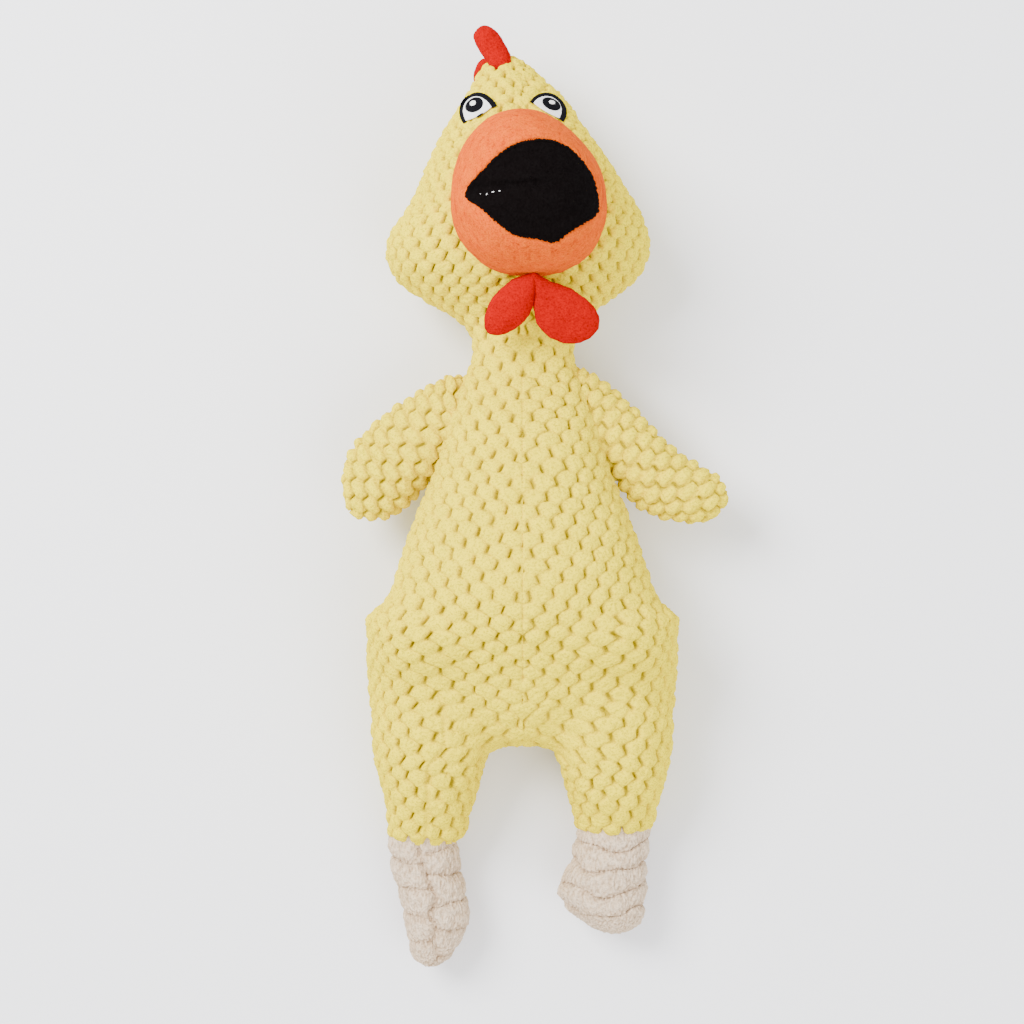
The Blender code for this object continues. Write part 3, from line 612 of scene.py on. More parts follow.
def build_body():
    bag = body_bag()
    inflate(bag)
    smooth(bag, 1, 0.3)
    co = co_of(bag.data)
    x, y = co[:, 0] - CENTRE_X, co[:, 1]
    body_edges, body_table = profile(co[y > HIP_Y - 2 * MM], HIP_Y, y.max())
    leg_tables = {}
    for sign in (-1, 1):
        mine = (y < HIP_Y + 22 * MM) & (x * sign > 0)
        leg_tables[sign] = profile(co[mine], y.min(), HIP_Y + 22 * MM)
    subdivide(bag, SUBDIVISIONS)
    turn_hems(bag)
    face = BVHTree.FromObject(bag, bpy.context.evaluated_depsgraph_get())
    co = co_of(bag.data)
    x, y = co[:, 0] - CENTRE_X, co[:, 1]
    angle, back, u, v = around(co, body_edges, body_table)
    leg_share = 1 - smoothstep(HIP_Y - 14 * MM, HIP_Y + 24 * MM, y)
    leg_seam = np.full(len(co), 1.0)
    for sign in (-1, 1):
        mine = (x * sign > 0) & (y < HIP_Y + 24 * MM)
        edges, table = leg_tables[sign]
        a2, b2, u2, v2 = around(co[mine], edges, table)
        centre = np.interp(HIP_Y + 20 * MM, edges, table[:, 0])
        joint = (np.abs(co[:, 0] - centre) < 2 * MM) & (np.abs(y - HIP_Y - 20 * MM) < 1 * MM) & ~back
        share = leg_share[mine]
        u[mine] = u[mine] * (1 - share) + (u2 + u[joint].mean()) * share
        v[mine] = v[mine] * (1 - share) + (co[mine, 1] - (HIP_Y + 20 * MM) + v[joint].mean()) * share
        swap = share > 0.5
        back_now = back[mine]
        back_now[swap] = b2[swap]
        back[mine] = back_now
        if sign < 0:
            near = np.abs(u2) + (b2 * 1.0)
            leg_seam[mine] = np.where(y[mine] < HIP_Y + 34 * MM, near, 1.0)
    front_seam = np.where(back | (y < HIP_Y + 30 * MM), 1.0, np.abs(u) + 1.0 * MM)
    back_seam = np.where(back & (y > HIP_Y), np.abs(u), 1.0)
    middle, wide, tall, height = [np.interp(y, body_edges, body_table[:, k]) for k in range(4)]
    side_seam = np.abs(np.abs(angle) - math.pi / 2) * tall
    side_seam = np.where(y < HIP_Y + 10 * MM, 1.0, side_seam)
    seams = np.minimum(np.minimum(front_seam, back_seam), np.minimum(side_seam, leg_seam))
    above_neck = smoothstep(HEAD_Y - 12 * MM, HEAD_Y + 14 * MM, y)      # the head's panels have the finer grid
    start = v[(np.abs(y - HEAD_Y) < 1 * MM)].mean()
    u, v = u * (1 + 0.13 * above_neck), v + 0.13 * np.maximum(v - start, 0)
    crush = np.exp(-((x / (24 * MM)) ** 2 + ((y - HIP_Y - 12 * MM) / (17 * MM)) ** 2))
    u = u + crush * 2.6 * MM * value_noise(co, 7 * MM, 31)
    v = v + crush * 2.6 * MM * value_noise(co, 7 * MM, 32)
    plush(bag, u, v, x < 0, seams, calm=calm_near_eyes(co) * (1 - 0.3 * crush))
    torso_low, torso_top = HIP_Y + 6 * MM, NECK_Y - 18 * MM

    def level(c, low, high):
        return (c[:, 1] > low) & (c[:, 1] <= high)

    regions = {
        "neck_plush": (lambda c: level(c, torso_top, JOWL_Y), part_nodes("neck_")),
        "head_front_plush": (lambda c: level(c, JOWL_Y, 1) & (c[:, 2] > SIDE_Z), ["head_front_cover", "head_stuffing"]),
        "head_back_plush": (lambda c: level(c, JOWL_Y, 1) & (c[:, 2] <= SIDE_Z), ["head_back_cover"]),
    }
    for side, sign in (("left", -1), ("right", 1)):
        own = {"front": [f"torso_front_{side}_cover"] + (["torso_stuffing_front"] if side == "left" else []),
               "back": ["torso_back_cover", "torso_stuffing_back"] if side == "left" else []}

        def half(c, sign=sign):
            return (c[:, 0] >= CENTRE_X) == (sign > 0)
        regions[f"torso_front_{side}_plush"] = (
            lambda c, half=half: level(c, torso_low, torso_top) & half(c) & (c[:, 2] > SIDE_Z), own["front"])
        regions[f"torso_back_{side}_plush"] = (
            lambda c, half=half: level(c, torso_low, torso_top) & half(c) & (c[:, 2] <= SIDE_Z), own["back"])
        regions[f"thigh_{side}_plush"] = (
            lambda c, half=half, side=side: level(c, hem_y(side) - 0.9 * MM, torso_low) & half(c),
            part_nodes(f"thigh_{side}_"))
    made = {}
    for name, (keep, replaced) in regions.items():
        made[name] = finish(cut(bag, name, keep), "yellow", replaced)
        if name.startswith("torso"):
            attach(made[name], "torso")
    bpy.data.objects.remove(bag)
    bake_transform(made["neck_plush"], "torso", "neck", (CENTRE_X, torso_top, 0.03), (CENTRE_X, JOWL_Y - 1 * MM, 0.03))
    for name in ("head_front_plush", "head_back_plush"):
        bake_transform(made[name], "neck", "head", (CENTRE_X, JOWL_Y + 0.5 * MM, 0.03), (CENTRE_X, JOWL_Y + 13 * MM, 0.03))
    for side in ("left", "right"):
        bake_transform(made[f"thigh_{side}_plush"], "torso", "thigh_" + side,
                 (CENTRE_X, torso_low - 2 * MM, 0.03), (CENTRE_X, torso_low - 32 * MM, 0.03))
    return face


# ================================================================ soft pads from an outline
def closed_curve(points, per=10):
    """A smooth closed line through plan points."""
    made = []
    for i in range(len(points)):
        a, b, c, d = [np.array(points[(i + k) % len(points)][:2], float) for k in (-1, 0, 1, 2)]
        for t in np.arange(per) / per:
            made.append(0.5 * (2 * b + (c - a) * t + (2 * a - 5 * b + 4 * c - d) * t ** 2
                               + (3 * b - a - 3 * c + d) * t ** 3))
    return np.array(made)


def pad(name, outline, spine, thick, place, rings=9):
    """A stuffed pad: a plan outline rounded up to its thickness over a straight spine."""
    edge = closed_curve(outline)
    a, b = np.array(spine[0], float), np.array(spine[1], float)
    share = np.clip(((edge - a) @ (b - a)) / max((b - a) @ (b - a), 1e-12), 0, 1)
    core = a + share[:, None] * (b - a)
    points, faces, wide = [], [], len(edge)
    for side in (1, -1):
        base = len(points)
        for k in range(rings + 1):
            turn = math.pi / 2 * k / rings
            ring = core + (edge - core) * math.cos(turn)
            points += [place(x, y, side * thick * math.sin(turn)) for x, y in ring]
        faces += [(base + k * wide + i, base + k * wide + (i + 1) % wide,
                   base + (k + 1) * wide + (i + 1) % wide, base + (k + 1) * wide + i)
                  for k in range(rings) for i in range(wide)]
    work = bmesh.new()
    verts = [work.verts.new(p) for p in points]
    for face in faces:
        work.faces.new([verts[i] for i in face])
    bmesh.ops.remove_doubles(work, verts=work.verts, dist=0.02 * MM)
    bmesh.ops.recalc_face_normals(work, faces=work.faces)
    mesh = bpy.data.meshes.new(name)
    work.to_mesh(mesh)
    work.free()
    made = bpy.data.objects.new(name, mesh)
    bpy.context.scene.collection.objects.link(made)
    return made


def mm(points):
    return [tuple(c * MM for c in p) for p in points]


# ================================================================ wings
WINGS = {   # plan outline, the arm's spine, and the direction that it points, in mm
    "left": ([(-33, 54), (-45, 50), (-58, 42.5), (-73, 31), (-82.5, 18), (-84, 5), (-80, -6), (-70, -10),
              (-58, -7), (-51, -1), (-46, 6), (-38, 12), (-28, 30)], [(-38, 32), (-65, 7.5)], (-0.74, -0.67)),
    "right": ([(16, 57), (27, 53), (38, 44.5), (47, 36), (53.5, 28), (64, 19.5), (76, 12.5), (82.3, 5.5), (80.5, -4),
               (70, -11), (55, -9.5), (44, -6), (37, 1), (29, 12), (14, 30)], [(27, 30), (68, 1.5)], (0.80, -0.60)),
}


def build_wing(side):
    outline, spine, (dx, dy) = WINGS[side]
    height = JOINTS[f"wing_{side}_flap"]["pos_m"][2]
    wing = pad("wing_" + side, mm(outline), mm(spine), 14.5 * MM, lambda x, y, z: (x, y, height + z))
    wing = smooth(remesh(wing, VOXEL), 3)
    inflate(wing, pressure=5.0, cap=1.8 * MM)
    turned = lambda co: np.column_stack([co[:, 0] * -dy + co[:, 1] * dx, co[:, 0] * dx + co[:, 1] * dy, co[:, 2]])
    coarse = turned(co_of(wing.data))
    edges, table = profile(coarse, coarse[:, 1].min(), coarse[:, 1].max())
    subdivide(wing, SUBDIVISIONS)
    co = turned(co_of(wing.data))
    angle, back, u, v = around(co, edges, table)
    tall = np.interp(co[:, 1], edges, table[:, 2])
    seams = np.abs(np.abs(angle) - math.pi / 2) * np.maximum(tall, 4 * MM)
    plush(wing, u, v, np.zeros(len(co), bool), seams, tilt=0.05, pitch=10.6 * MM, row_pitch=5.6 * MM, groove=0.7 * MM,
          ribs=1.1 * MM)
    piece = finish(cut(wing, f"wing_{side}_plush", lambda c: c[:, 2] > -1), "yellow",
                   part_nodes(f"wing_{side}_"))
    bpy.data.objects.remove(wing)
    joint = JOINTS[f"wing_{side}_flap"]
    hinge, axis = Vector(joint["pos_m"]), Vector(joint["axis"])
    out = Vector((axis.y, -axis.x, 0)).normalized()
    if out.x * dx < 0:
        out = -out
    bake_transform(piece, "torso", "wing_" + side, hinge - out * 10 * MM, hinge + out * 8 * MM)
    return piece


# ================================================================ the face
MOUTH = [(-0.80, -0.135), (-0.57, 0.105), (-0.336, 0.30), (-0.09, 0.41), (0.174, 0.45), (0.394, 0.41), (0.586, 0.288),
         (0.733, 0.118), (0.82, -0.088), (0.845, -0.271), (0.78, -0.385), (0.612, -0.50), (0.443, -0.60), (0.297, -0.69),
         (0.10, -0.67), (-0.19, -0.62), (-0.386, -0.50), (-0.58, -0.335)]
EYES = {   # base middle from the centre line, tilt, half width, height, in mm and degrees
    "left": ((-18.2, 159.9), 26, 6.5, 9.8),
    "right": ((10.0, 161.2), -30, 6.7, 7.8),
}


BEAK_DROP = 4.4 * MM    # the stuffed beak sags this far towards the wattles
RIM = [(0, -0.02), (20, -0.07), (45, -0.105), (70, -0.08), (90, -0.015), (112, 0.02), (135, 0.03), (160, 0.0), (180, 0.0),
       (205, 0.055), (225, 0.07), (250, 0.03), (270, 0.0), (295, 0.05), (315, 0.075), (340, 0.02), (360, -0.02)]


def beak_frame():
    """The beak's middle, its two radii and its top, from the CAD covers."""
    low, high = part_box("beak_lower_cover")[0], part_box("beak_upper_cover")[1]
    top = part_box("mouth_upper_lining")[1].z
    return (low.x + high.x) / 2, (low.y + high.y) / 2 - BEAK_DROP, (high.x - low.x) / 2, (high.y - low.y) / 2, top + 1.5 * MM


def calm_near_eyes(co):
    """1 on free plush, less where the eyes are embroidered through it or the beak is sewn on."""
    calm = np.ones(len(co))
    for (x, y), tilt, half, tall in EYES.values():
        t = math.radians(tilt)
        cx, cy = CENTRE_X + x * MM - 0.45 * tall * MM * math.sin(t), y * MM + 0.45 * tall * MM * math.cos(t)
        away = np.hypot((co[:, 0] - cx) / (half * MM * 1.25), (co[:, 1] - cy) / (tall * MM * 0.85))
        away = np.where(co[:, 2] > 0.02, away, 9)
        calm = np.minimum(calm, 0.25 + 0.75 * smoothstep(0.9, 1.35, away))
    return calm


def drop(tree, x, y):
    """Height of a surface under a plan point."""
    hit = tree.ray_cast(Vector((x, y, 1)), Vector((0, 0, -1)))
    return hit[0].z if hit[0] else None


def grid_object(name, points, wide, closed):
    rows = len(points) // wide
    faces = [(r * wide + i, r * wide + (i + 1) % wide, (r + 1) * wide + (i + 1) % wide, (r + 1) * wide + i)
             for r in range(rows - 1) for i in range(wide if closed else wide - 1)]
    mesh = bpy.data.meshes.new(name)
    mesh.from_pydata([tuple(p) for p in points], [], faces)
    work = bmesh.new()
    work.from_mesh(mesh)
    bmesh.ops.recalc_face_normals(work, faces=work.faces)
    if sum(f.normal.z for f in work.faces) < 0:
        bmesh.ops.reverse_faces(work, faces=work.faces)
    work.to_mesh(mesh)
    work.free()
    mesh.shade_smooth()
    made = bpy.data.objects.new(name, mesh)
    bpy.context.scene.collection.objects.link(made)
    return made


def ruffle(obj, fine, amount, broad=0.0, seed=0.0):
    """Short pile: fine bumps along the surface, with painted shade that is lighter on the bumps and darker in their
    dips.
    """
    co, n = co_of(obj.data), normals_of(obj.data)
    lift = value_noise(co, fine, 11 + seed) * amount + value_noise(co, fine * 3.1, 12 + seed) * amount * 0.7
    paint_shade_map(obj, np.clip(0.25 - lift / amount * 0.22, 0, 1))
    lift += value_noise(co, 14 * MM, 13 + seed) * broad
    set_co(obj.data, co + n * lift[:, None])


def mouth_reach(turn):
    """How far out the mouth's edge lies in one direction, as a part of the beak's radii."""
    edge = closed_curve(MOUTH, 12)
    angles = np.unwrap(np.arctan2(edge[:, 1], edge[:, 0]))
    if angles[-1] < angles[0]:
        angles, edge = angles[::-1], edge[::-1]
    size = np.hypot(edge[:, 0], edge[:, 1])
    order = np.argsort(np.mod(angles, 2 * math.pi))
    return np.interp(turn, np.mod(angles, 2 * math.pi)[order], size[order], period=2 * math.pi)


def build_beak(face):
    cx, cy, rx, ry, top = beak_frame()
    turns = np.linspace(0, 2 * math.pi, 420, endpoint=False)
    c, s = np.cos(turns), np.sin(turns)
    grow = 1 + np.interp(np.degrees(turns), [r[0] for r in RIM], [r[1] for r in RIM])
    grow = np.convolve(np.concatenate([grow[-15:], grow, grow[:15]]), np.ones(31) / 31, mode="valid")
    rim = np.array([drop(face, cx + rx * a, cy + ry * b) or 0.04 for a, b in zip(c * grow, s * grow)])
    kernel = np.ones(31) / 31
    rim = np.convolve(np.concatenate([rim[-15:], rim, rim[:15]]), kernel, mode="valid") - 1.0 * MM
    mouth = mouth_reach(turns)

    def dome(part, k=slice(None)):
        fall = 1 - np.sqrt(np.clip(1 - (part / grow[k]) ** 2.5, 0, 1))
        return top - (top - rim[k]) * fall

    def ring(part, z):
        return np.column_stack([cx + rx * part * c, cy + ry * part * s, z])

    size = (rx + ry) / 2
    rows = []
    for w in np.linspace(0, 1, 5)[:-1]:       # the lip's turned-in edge
        rows.append(ring(mouth - 0.01, dome(mouth) - (4.0 - 3.2 * w) * MM))
    for w in np.linspace(0, 1, 70):
        part = mouth + (grow - mouth) * (1 - (1 - w) ** 1.6)
        gap = (part - mouth) * size
        lip = -0.9 * MM * np.exp(-(gap / (1.1 * MM)) ** 2) + 0.9 * MM * np.exp(-((gap - 4 * MM) / (4 * MM)) ** 2)
        seam = -0.7 * MM * np.exp(-((s * ry * part + 2.5 * MM) / (0.9 * MM)) ** 2) * np.where(c < 0, 1, 0.35)
        rows.append(ring(part, dome(part) + lip + seam * smoothstep(0, 2 * MM, gap)))
    for k in range(1, 5):
        rows.append(ring(grow * (1 - 0.01 * k), rim - k * 1.6 * MM))
    cover = grid_object("beak_plush", np.concatenate(rows), len(turns), True)
    ruffle(cover, 1.1 * MM, 0.14 * MM, broad=0.5 * MM)
    finish(cover, "orange", ["beak_upper_cover", "beak_lower_cover", "beak_stuffing"])
    rows = []
    tuft = np.array([noise.noise(Vector((a * 34, b * 34, 3.3))) for a, b in zip(c, s)])
    tuft += 0.6 * np.array([noise.noise(Vector((a * 80, b * 80, 1.3))) for a, b in zip(c, s)])
    for w in np.linspace(0.004, 1, 80):
        part = (mouth + 0.016 + 0.016 * tuft) * w
        gap = (mouth - part) * size
        x, y = rx * part * c, ry * part * s
        fold = -1.6 * MM * np.exp(-((y + 2.0 * MM - 0.05 * x) / (1.5 * MM)) ** 2) * (1 - smoothstep(0, 20 * MM, x))
        z = dome(part) - 1.4 * MM * smoothstep(0, 6 * MM, gap) + fold * smoothstep(0, 3 * MM, gap)
        z = z + np.where(gap < 0.6 * MM, 0.7 * MM, 0.35 * MM)
        rows.append(ring(part, z))
    lining = grid_object("mouth_plush", np.concatenate(rows), len(turns), True)
    ruffle(lining, 1.0 * MM, 0.26 * MM, seed=3)
    finish(lining, "black", ["mouth_upper_lining", "mouth_lower_lining"])
    for piece in (cover, lining):
        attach(piece, "head")
    stitches, faces = [], []
    for k, (a, b, turn, long) in enumerate(((-0.66, -0.17, 1.3, 1.1), (-0.60, -0.155, 0.3, 0.7), (-0.535, -0.165, 1.1, 0.6),
                                            (-0.46, -0.15, 0.2, 0.6), (-0.38, -0.145, 0.2, 0.4))):
        part = math.hypot(a, b)
        z = float(dome(part, 0)) + 0.3 * MM
        base = len(stitches)
        for i in range(12):
            for j in range(8):
                along, spin = -1 + 2 * i / 11, 2 * math.pi * j / 8
                fat = 0.19 * MM * math.sqrt(max(0.0, 1 - along ** 2)) + 0.01 * MM
                px, py = along * long * MM, fat * math.cos(spin)
                stitches.append((cx + rx * a + px * math.cos(turn) - py * math.sin(turn),
                                 cy + ry * b + px * math.sin(turn) + py * math.cos(turn), z + fat * math.sin(spin)))
        faces += [(base + i * 8 + j, base + i * 8 + (j + 1) % 8, base + (i + 1) * 8 + (j + 1) % 8, base + (i + 1) * 8 + j)
                  for i in range(11) for j in range(8)]
    thread = new_object("mouth_stitches", stitches, faces)
    paint_shade_map(thread, np.zeros(len(stitches)))
    finish(thread, "white")
    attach(thread, "head")


def patch(name, face, inside, steps, place, lift, thick, thread, paint, replaced):
    """A raised patch of thread on the face. inside gives the plan point of (across 0..1, along 0..1)."""
    wide, tall = steps
    points = []
    for j in range(tall):
        for i in range(wide):
            a, b = i / (wide - 1), j / (tall - 1)
            u, v = inside(a, b)
            x, y = place(u, v)
            edge = min(a, 1 - a, b, 1 - b) * min(wide, tall)
            height = lift + thick * min(1.0, max(edge, 0.0) / 3.0) ** 0.5
            ridge = 0.10 * MM * math.sin(2 * math.pi * (u * thread[0] + v * thread[1]))
            points.append((x, y, face(x, y) + height + (ridge if edge > 1 else 0)))
    made = grid_object(name, points, wide, False)
    paint_shade_map(made, np.zeros(len(points)))
    finish(made, paint, replaced)
    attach(made, "head")
    return made


def build_eyes(tree):
    def face(x, y):
        heights = [drop(tree, x + a * MM, y + b * MM) for a, b in ((0, 0), (2, 0), (-2, 0), (0, 2), (0, -2))]
        heights = [h for h in heights if h is not None]
        return sum(heights) / max(len(heights), 1)

    for side, ((bx, by), tilt, half, tall) in EYES.items():
        t = math.radians(tilt)
        ox, oy, half, tall = CENTRE_X + bx * MM, by * MM, half * MM, tall * MM

        def place(u, v, ox=ox, oy=oy, t=t):
            return ox + u * math.cos(t) - v * math.sin(t), oy + u * math.sin(t) + v * math.cos(t)

        def disc(cu, cv, ru, rv, turn=0.0):
            def at(a, b):
                p, q = 2 * a - 1, 2 * b - 1
                r, w = max(abs(p), abs(q)), math.hypot(p, q) or 1
                p, q = p * r / w, q * r / w
                return (cu + ru * p * math.cos(turn) - rv * q * math.sin(turn),
                        cv + ru * p * math.sin(turn) + rv * q * math.cos(turn))
            return at

        def white(a, b, half=half, tall=tall):
            p = 2 * a - 1
            low, high = 0.10 * tall * (1 - p * p) * -1, tall * math.sqrt(max(0, 1 - abs(p) ** 2.2))
            return p * half, low + (high - low) * b

        def arch(a, b, half=half, tall=tall):
            turn = math.pi * (1.02 - 1.04 * a)
            broad = (1.6 + 1.2 * a * (1.3 - 0.5 * a)) * MM
            grow = (b - 0.35) * broad
            return (half + grow) * math.cos(turn), (tall + grow) * math.sin(turn)

        step = 1 / (0.55 * MM)
        patch("eye_white_thread_" + side, face, white, (48, 44), place, 0.9 * MM, 0.5 * MM, (step, step * 0.2),
              "white", ["eye_white_" + side])
        patch("eye_outline_thread_" + side, face, arch, (110, 9), place, 1.1 * MM, 0.8 * MM, (step * 0.7, step * 0.7),
              "thread", ["eye_outline_" + side])
        cu, cv = (0.02 * half, 0.50 * tall)
        patch("pupil_thread_" + side, face, disc(cu, cv, 0.60 * half, 0.37 * tall, 0.10), (34, 34), place, 1.5 * MM, 0.4 * MM,
              (step * 0.3, step), "thread", ["pupil_" + side])
        patch("eye_glint_thread_" + side, face, disc(cu - 0.02 * half, cv + 0.10 * tall, 0.20 * half, 0.13 * tall, 0.5), (14, 14),
              place, 1.9 * MM, 0.3 * MM, (step, 0), "white", ["eye_glint_" + side])
        if side == "left":
            patch("eye_dash_left", face, disc(-0.02 * half, -0.10 * tall, 1.75 * MM, 0.42 * MM, 0.12), (22, 9), place,
                  1.3 * MM, 0.5 * MM, (step, 0), "thread", ())


# ================================================================ comb and wattles
COMB_FRONT = [(-10.5, 187), (-12.3, 191), (-14.2, 194.4), (-17, 198), (-20.5, 200), (-24.3, 199.6), (-27, 196.4),
              (-26.6, 192.5), (-24.6, 189), (-22, 185), (-18.5, 181), (-12, 180)]
COMB_REAR = [(-15, 186), (-20.5, 190.5), (-24.8, 189), (-27, 184.6), (-27.6, 180.4), (-25, 177.4), (-19, 176), (-14, 180)]
WATTLES = {    # plan outlines in the plane that each hangs in: from the centre line, and down from the knot
    "left": ([(5.4, -1.2), (1.6, 0.2), (-3.6, 1.6), (-8.4, 5.2), (-12.6, 10), (-15.4, 16), (-16.2, 22), (-14.4, 26.2),
              (-9.8, 27), (-4.4, 25), (0.4, 21.6), (3.8, 17), (5.6, 10), (6.2, 4)], [(2.5, 5), (-8.5, 19)]),
    "right": ([(3.6, -1.4), (7.4, 0.4), (12.2, 3.4), (18, 5), (24, 8.6), (29.2, 13.4), (32.0, 18.6), (31.8, 23.8),
               (28, 28.8), (21, 30.8), (14.6, 29.8), (9, 26.2), (5.4, 21.4), (4, 15), (4.4, 8)], [(8, 6), (20.5, 20)]),
}


def soft_pad(name, outline, spine, thick, place, voxel, paint, replaced, pile=0.16 * MM):
    made = smooth(remesh(pad(name, outline, spine, thick, place), voxel), 2)
    inflate(made, pressure=3.0, cap=0.9 * MM, ease=0.4 * MM)
    subdivide(made, 2)
    ruffle(made, 1.1 * MM, pile, broad=0.25 * MM)
    made.data.shade_smooth()
    return finish(made, paint, replaced)


def build_comb():
    x, y, z = JOINTS["comb_flop"]["pos_m"]
    for name, outline, spine, thick, node in (
            ("comb_front_plush", COMB_FRONT, [(-15, 186), (-21.5, 195.5)], 5.4, "comb_front_lobe"),
            ("comb_rear_plush", COMB_REAR, [(-20, 182), (-22.5, 184)], 5.0, "comb_rear_lobe")):
        low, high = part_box(node)
        middle = (low.z + high.z) / 2
        piece = soft_pad(name, mm(outline), mm(spine), thick * MM, lambda a, b, c, m=middle: (a, b, m + c), 1.8 * MM,
                         "red", [node])
        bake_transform(piece, "head", "comb", (x, y - 6 * MM, z), (x, y + 4 * MM, z))


def build_wattles():
    slope = math.radians(25)
    for side, (outline, spine) in WATTLES.items():
        x, y, z = JOINTS[f"wattle_{side}_flap"]["pos_m"]

        def place(a, b, c, y=y, z=z):
            return (CENTRE_X + a, y - b * math.cos(slope) - c * math.sin(slope),
                    z - b * math.sin(slope) + c * math.cos(slope))
        piece = soft_pad(f"wattle_{side}_plush", mm(outline), mm(spine), 4.2 * MM, place, 1.8 * MM, "red",
                         ["wattle_" + side])
        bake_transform(piece, "head", "wattle_" + side, (x, y + 1 * MM, z), (x, y - 13 * MM, z - 6 * MM))


# ================================================================ feet
FEET = {    # parts of the length with the middle from the centre line and the half width; length, crease pitch, bow, stagger
    "left": ([(0.0, -43.4, 14.4), (0.12, -42.8, 14.8), (0.27, -41.6, 14.8), (0.5, -38.1, 14.5), (0.68, -36.8, 13.6),
              (0.84, -38.4, 10.6), (0.94, -39.2, 7.4), (1.0, -40.0, 4.5)], 58.5, 11.8, 0.35, 0.5),
    "right": ([(0.0, 40.4, 15.6), (0.15, 39.0, 16.0), (0.36, 37.4, 16.2), (0.5, 35.2, 18.4), (0.64, 34.6, 18.8),
               (0.78, 36.6, 16.6), (0.9, 39.4, 11.5), (1.0, 40.6, 6.0)], 47.5, 9.6, 0.9, 0.0),
}


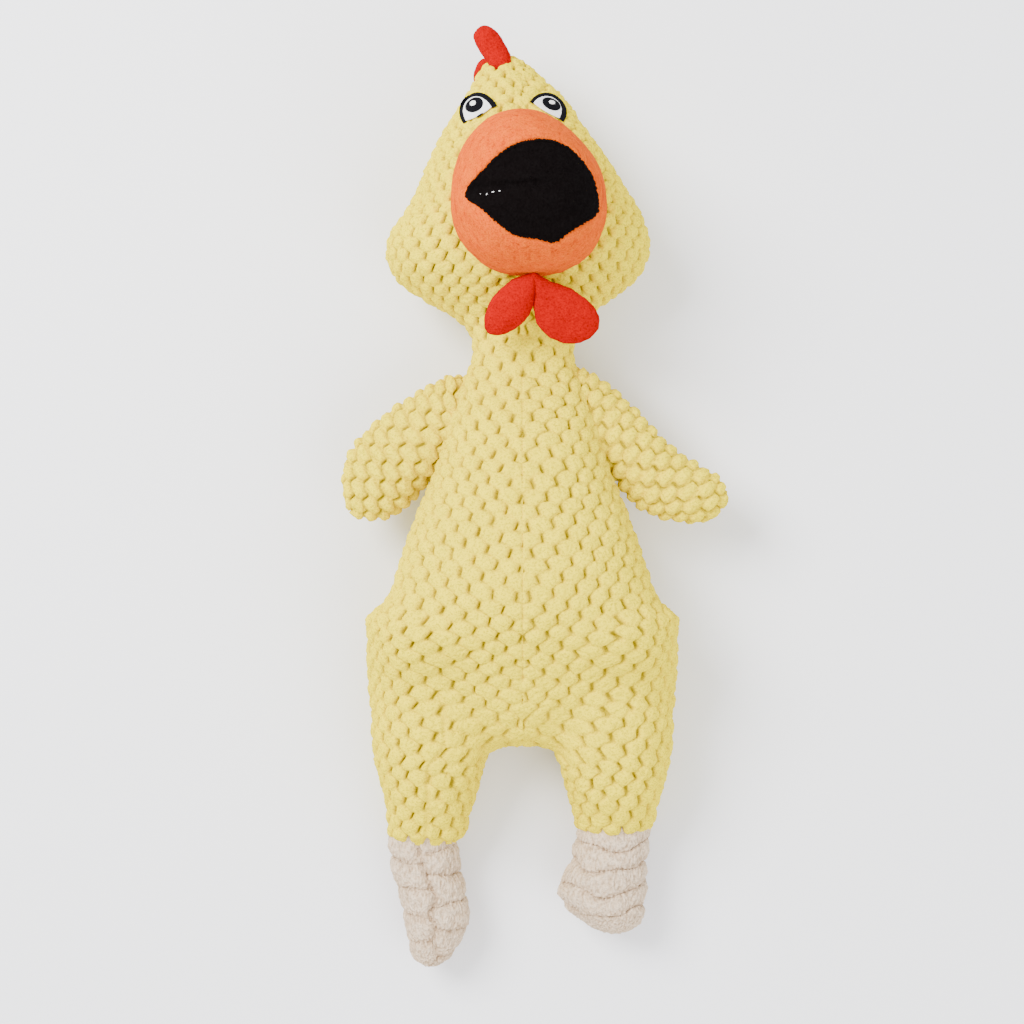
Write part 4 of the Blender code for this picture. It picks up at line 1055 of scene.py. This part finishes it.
def build_foot(side):
    rows, length, pitch, bow, stagger = FEET[side]
    low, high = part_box(f"shank_{side}_cover")
    start, z0 = hem_y(side) + 3 * MM, (low.z + high.z) / 2
    parts = np.array(rows)
    count, around_count = 260, 320
    turns = np.linspace(0, 2 * math.pi, around_count, endpoint=False)
    c, s = np.cos(turns), np.sin(turns)
    points, depth = [], []
    for t in np.linspace(-0.04, 1, count):
        middle, half = np.interp(max(t, 0), parts[:, 0], parts[:, 1]), np.interp(max(t, 0), parts[:, 0], parts[:, 2])
        tall = min(half, 16.5) * (0.96 - 0.14 * t)
        y = -t * length
        wide = np.sign(c) * np.abs(c) ** 0.95 * half
        weave = 1.6 * math.sin(0.21 * y) + 1.0 * math.sin(0.47 * y + 1)     # the front seam wanders
        swell = 0.9 * np.sin(3 * turns + 0.3 * y) + 0.6 * np.sin(5 * turns - 0.2 * y)
        phase = (y + swell - bow * (wide / 17) ** 2 * 5.0 + stagger * pitch * (wide > weave)) / pitch
        saw = phase - np.floor(phase)
        roll = np.sqrt(np.clip(1 - (2 * saw - 1) ** 2, 0, 1)) ** 0.8
        fade = smoothstep(0.02, 0.14, t) * (1 - 0.5 * smoothstep(0.9, 1.0, t))
        grow = 1 + (roll - 0.8) * 0.15 * fade
        cut_in = 0.0
        if stagger:
            cut_in = 0.12 * np.exp(-((wide - weave) / 1.6) ** 2) * (s > 0)
        grow = grow - cut_in
        close = math.sqrt(max(1 - max(0.0, (t - 0.93) / 0.07) ** 2, 0.0)) if t > 0.93 else 1.0
        points.append(np.column_stack([CENTRE_X + (middle + wide * grow * close) * MM, np.full(around_count, start + y * MM),
                                       z0 - 1.0 * MM * t + s * tall * grow * close * MM]))
        # Painted shade: darker in the creases between the rolls and along the wandering front seam's cut.
        depth.append(np.clip((1 - roll) * 0.42 * fade + cut_in * 2.2, 0, 1))
    made = grid_object(f"shank_{side}_plush", np.concatenate(points), around_count, True)
    co, n = co_of(made.data), normals_of(made.data)
    if (n[:, 2] * (co[:, 2] - z0)).mean() < 0:      # the winding faces in
        made.data.flip_normals()
        n = -n
    bent = co + np.column_stack([value_noise(co, 5 * MM, 22) * 1.2 * MM, co[:, 1] * 0, value_noise(co, 5 * MM, 23) * 1.2 * MM])
    ribs = np.array([noise.noise(Vector((p[0] / (0.8 * MM), p[1] / (2.4 * MM), p[2] / (0.8 * MM)))) for p in bent])
    lift = 0.62 * MM * ribs + 0.4 * MM * value_noise(co, 4 * MM, 21)
    co = co + n * lift[:, None]
    co[:, 2] = np.maximum(co[:, 2], FLOOR)
    set_co(made.data, co)
    # Painted shade: darker in the dips of the fine ribs, lighter on their crests.
    paint_shade_map(made, np.clip(np.concatenate(depth) + 0.18 - 0.55 * ribs, 0, 1))
    finish(made, "beige", part_nodes(f"shank_{side}_"))
    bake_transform(made, "thigh_" + side, "shank_" + side, (CENTRE_X, ANKLE_Y - 2 * MM, 0.018), (CENTRE_X, ANKLE_Y - 28 * MM, 0.018))


# ================================================================ stage
def build_stage():
    floor = new_object("floor", [(-3, -3, 0), (3, -3, 0), (3, 3, 0), (-3, 3, 0)], [(0, 1, 2, 3)])
    made, tree, shader = nodes_of("pale_floor")
    shader.inputs["Base Color"].default_value = (0.88, 0.88, 0.90, 1)
    shader.inputs["Roughness"].default_value = 0.9
    floor.data.materials.append(made)
    world = bpy.data.worlds.new("studio")
    bpy.context.scene.world = world
    world.use_nodes = True
    world.node_tree.nodes["Background"].inputs["Color"].default_value = (0.97, 0.98, 1.0, 1)
    world.node_tree.nodes["Background"].inputs["Strength"].default_value = 1.62
    for name, place, size, power in (("key", (-0.75, 0.55, 1.1), 0.7, 44), ("fill", (0.7, -0.75, 1.2), 1.2, 20)):
        light = bpy.data.lights.new(name, "AREA")
        light.size, light.energy = size, power
        lamp = bpy.data.objects.new(name, light)
        lamp.location = place
        lamp.rotation_euler = (Vector((0, 0, 0.03)) - Vector(place)).to_track_quat("-Z", "Y").to_euler()
        bpy.context.scene.collection.objects.link(lamp)
    camera = bpy.data.cameras.new("camera")
    camera.lens, camera.sensor_width = 82.9, 36
    viewer = bpy.data.objects.new("camera", camera)
    viewer.location = (-0.0104, -0.0057, 1.04)
    viewer.rotation_euler = (0, 0, 0)
    bpy.context.scene.collection.objects.link(viewer)
    bpy.context.scene.camera = viewer


def main():
    build_stage()
    face = build_body()
    build_beak(face)
    build_eyes(face)
    build_comb()
    build_wattles()
    for side in ("left", "right"):
        build_wing(side)
        build_foot(side)
    stuffing = [name for name in NODES if "stuffing" in name]
    paint_cad(stuffing, (0.88, 0.88, 0.86), 0.95)
    paint_cad(["squeaker_bellows"], (0.75, 0.74, 0.68), 0.4)
    paint_cad(["squeaker_stem", "squeaker_reed"], (0.6, 0.6, 0.62), 0.35)


main()
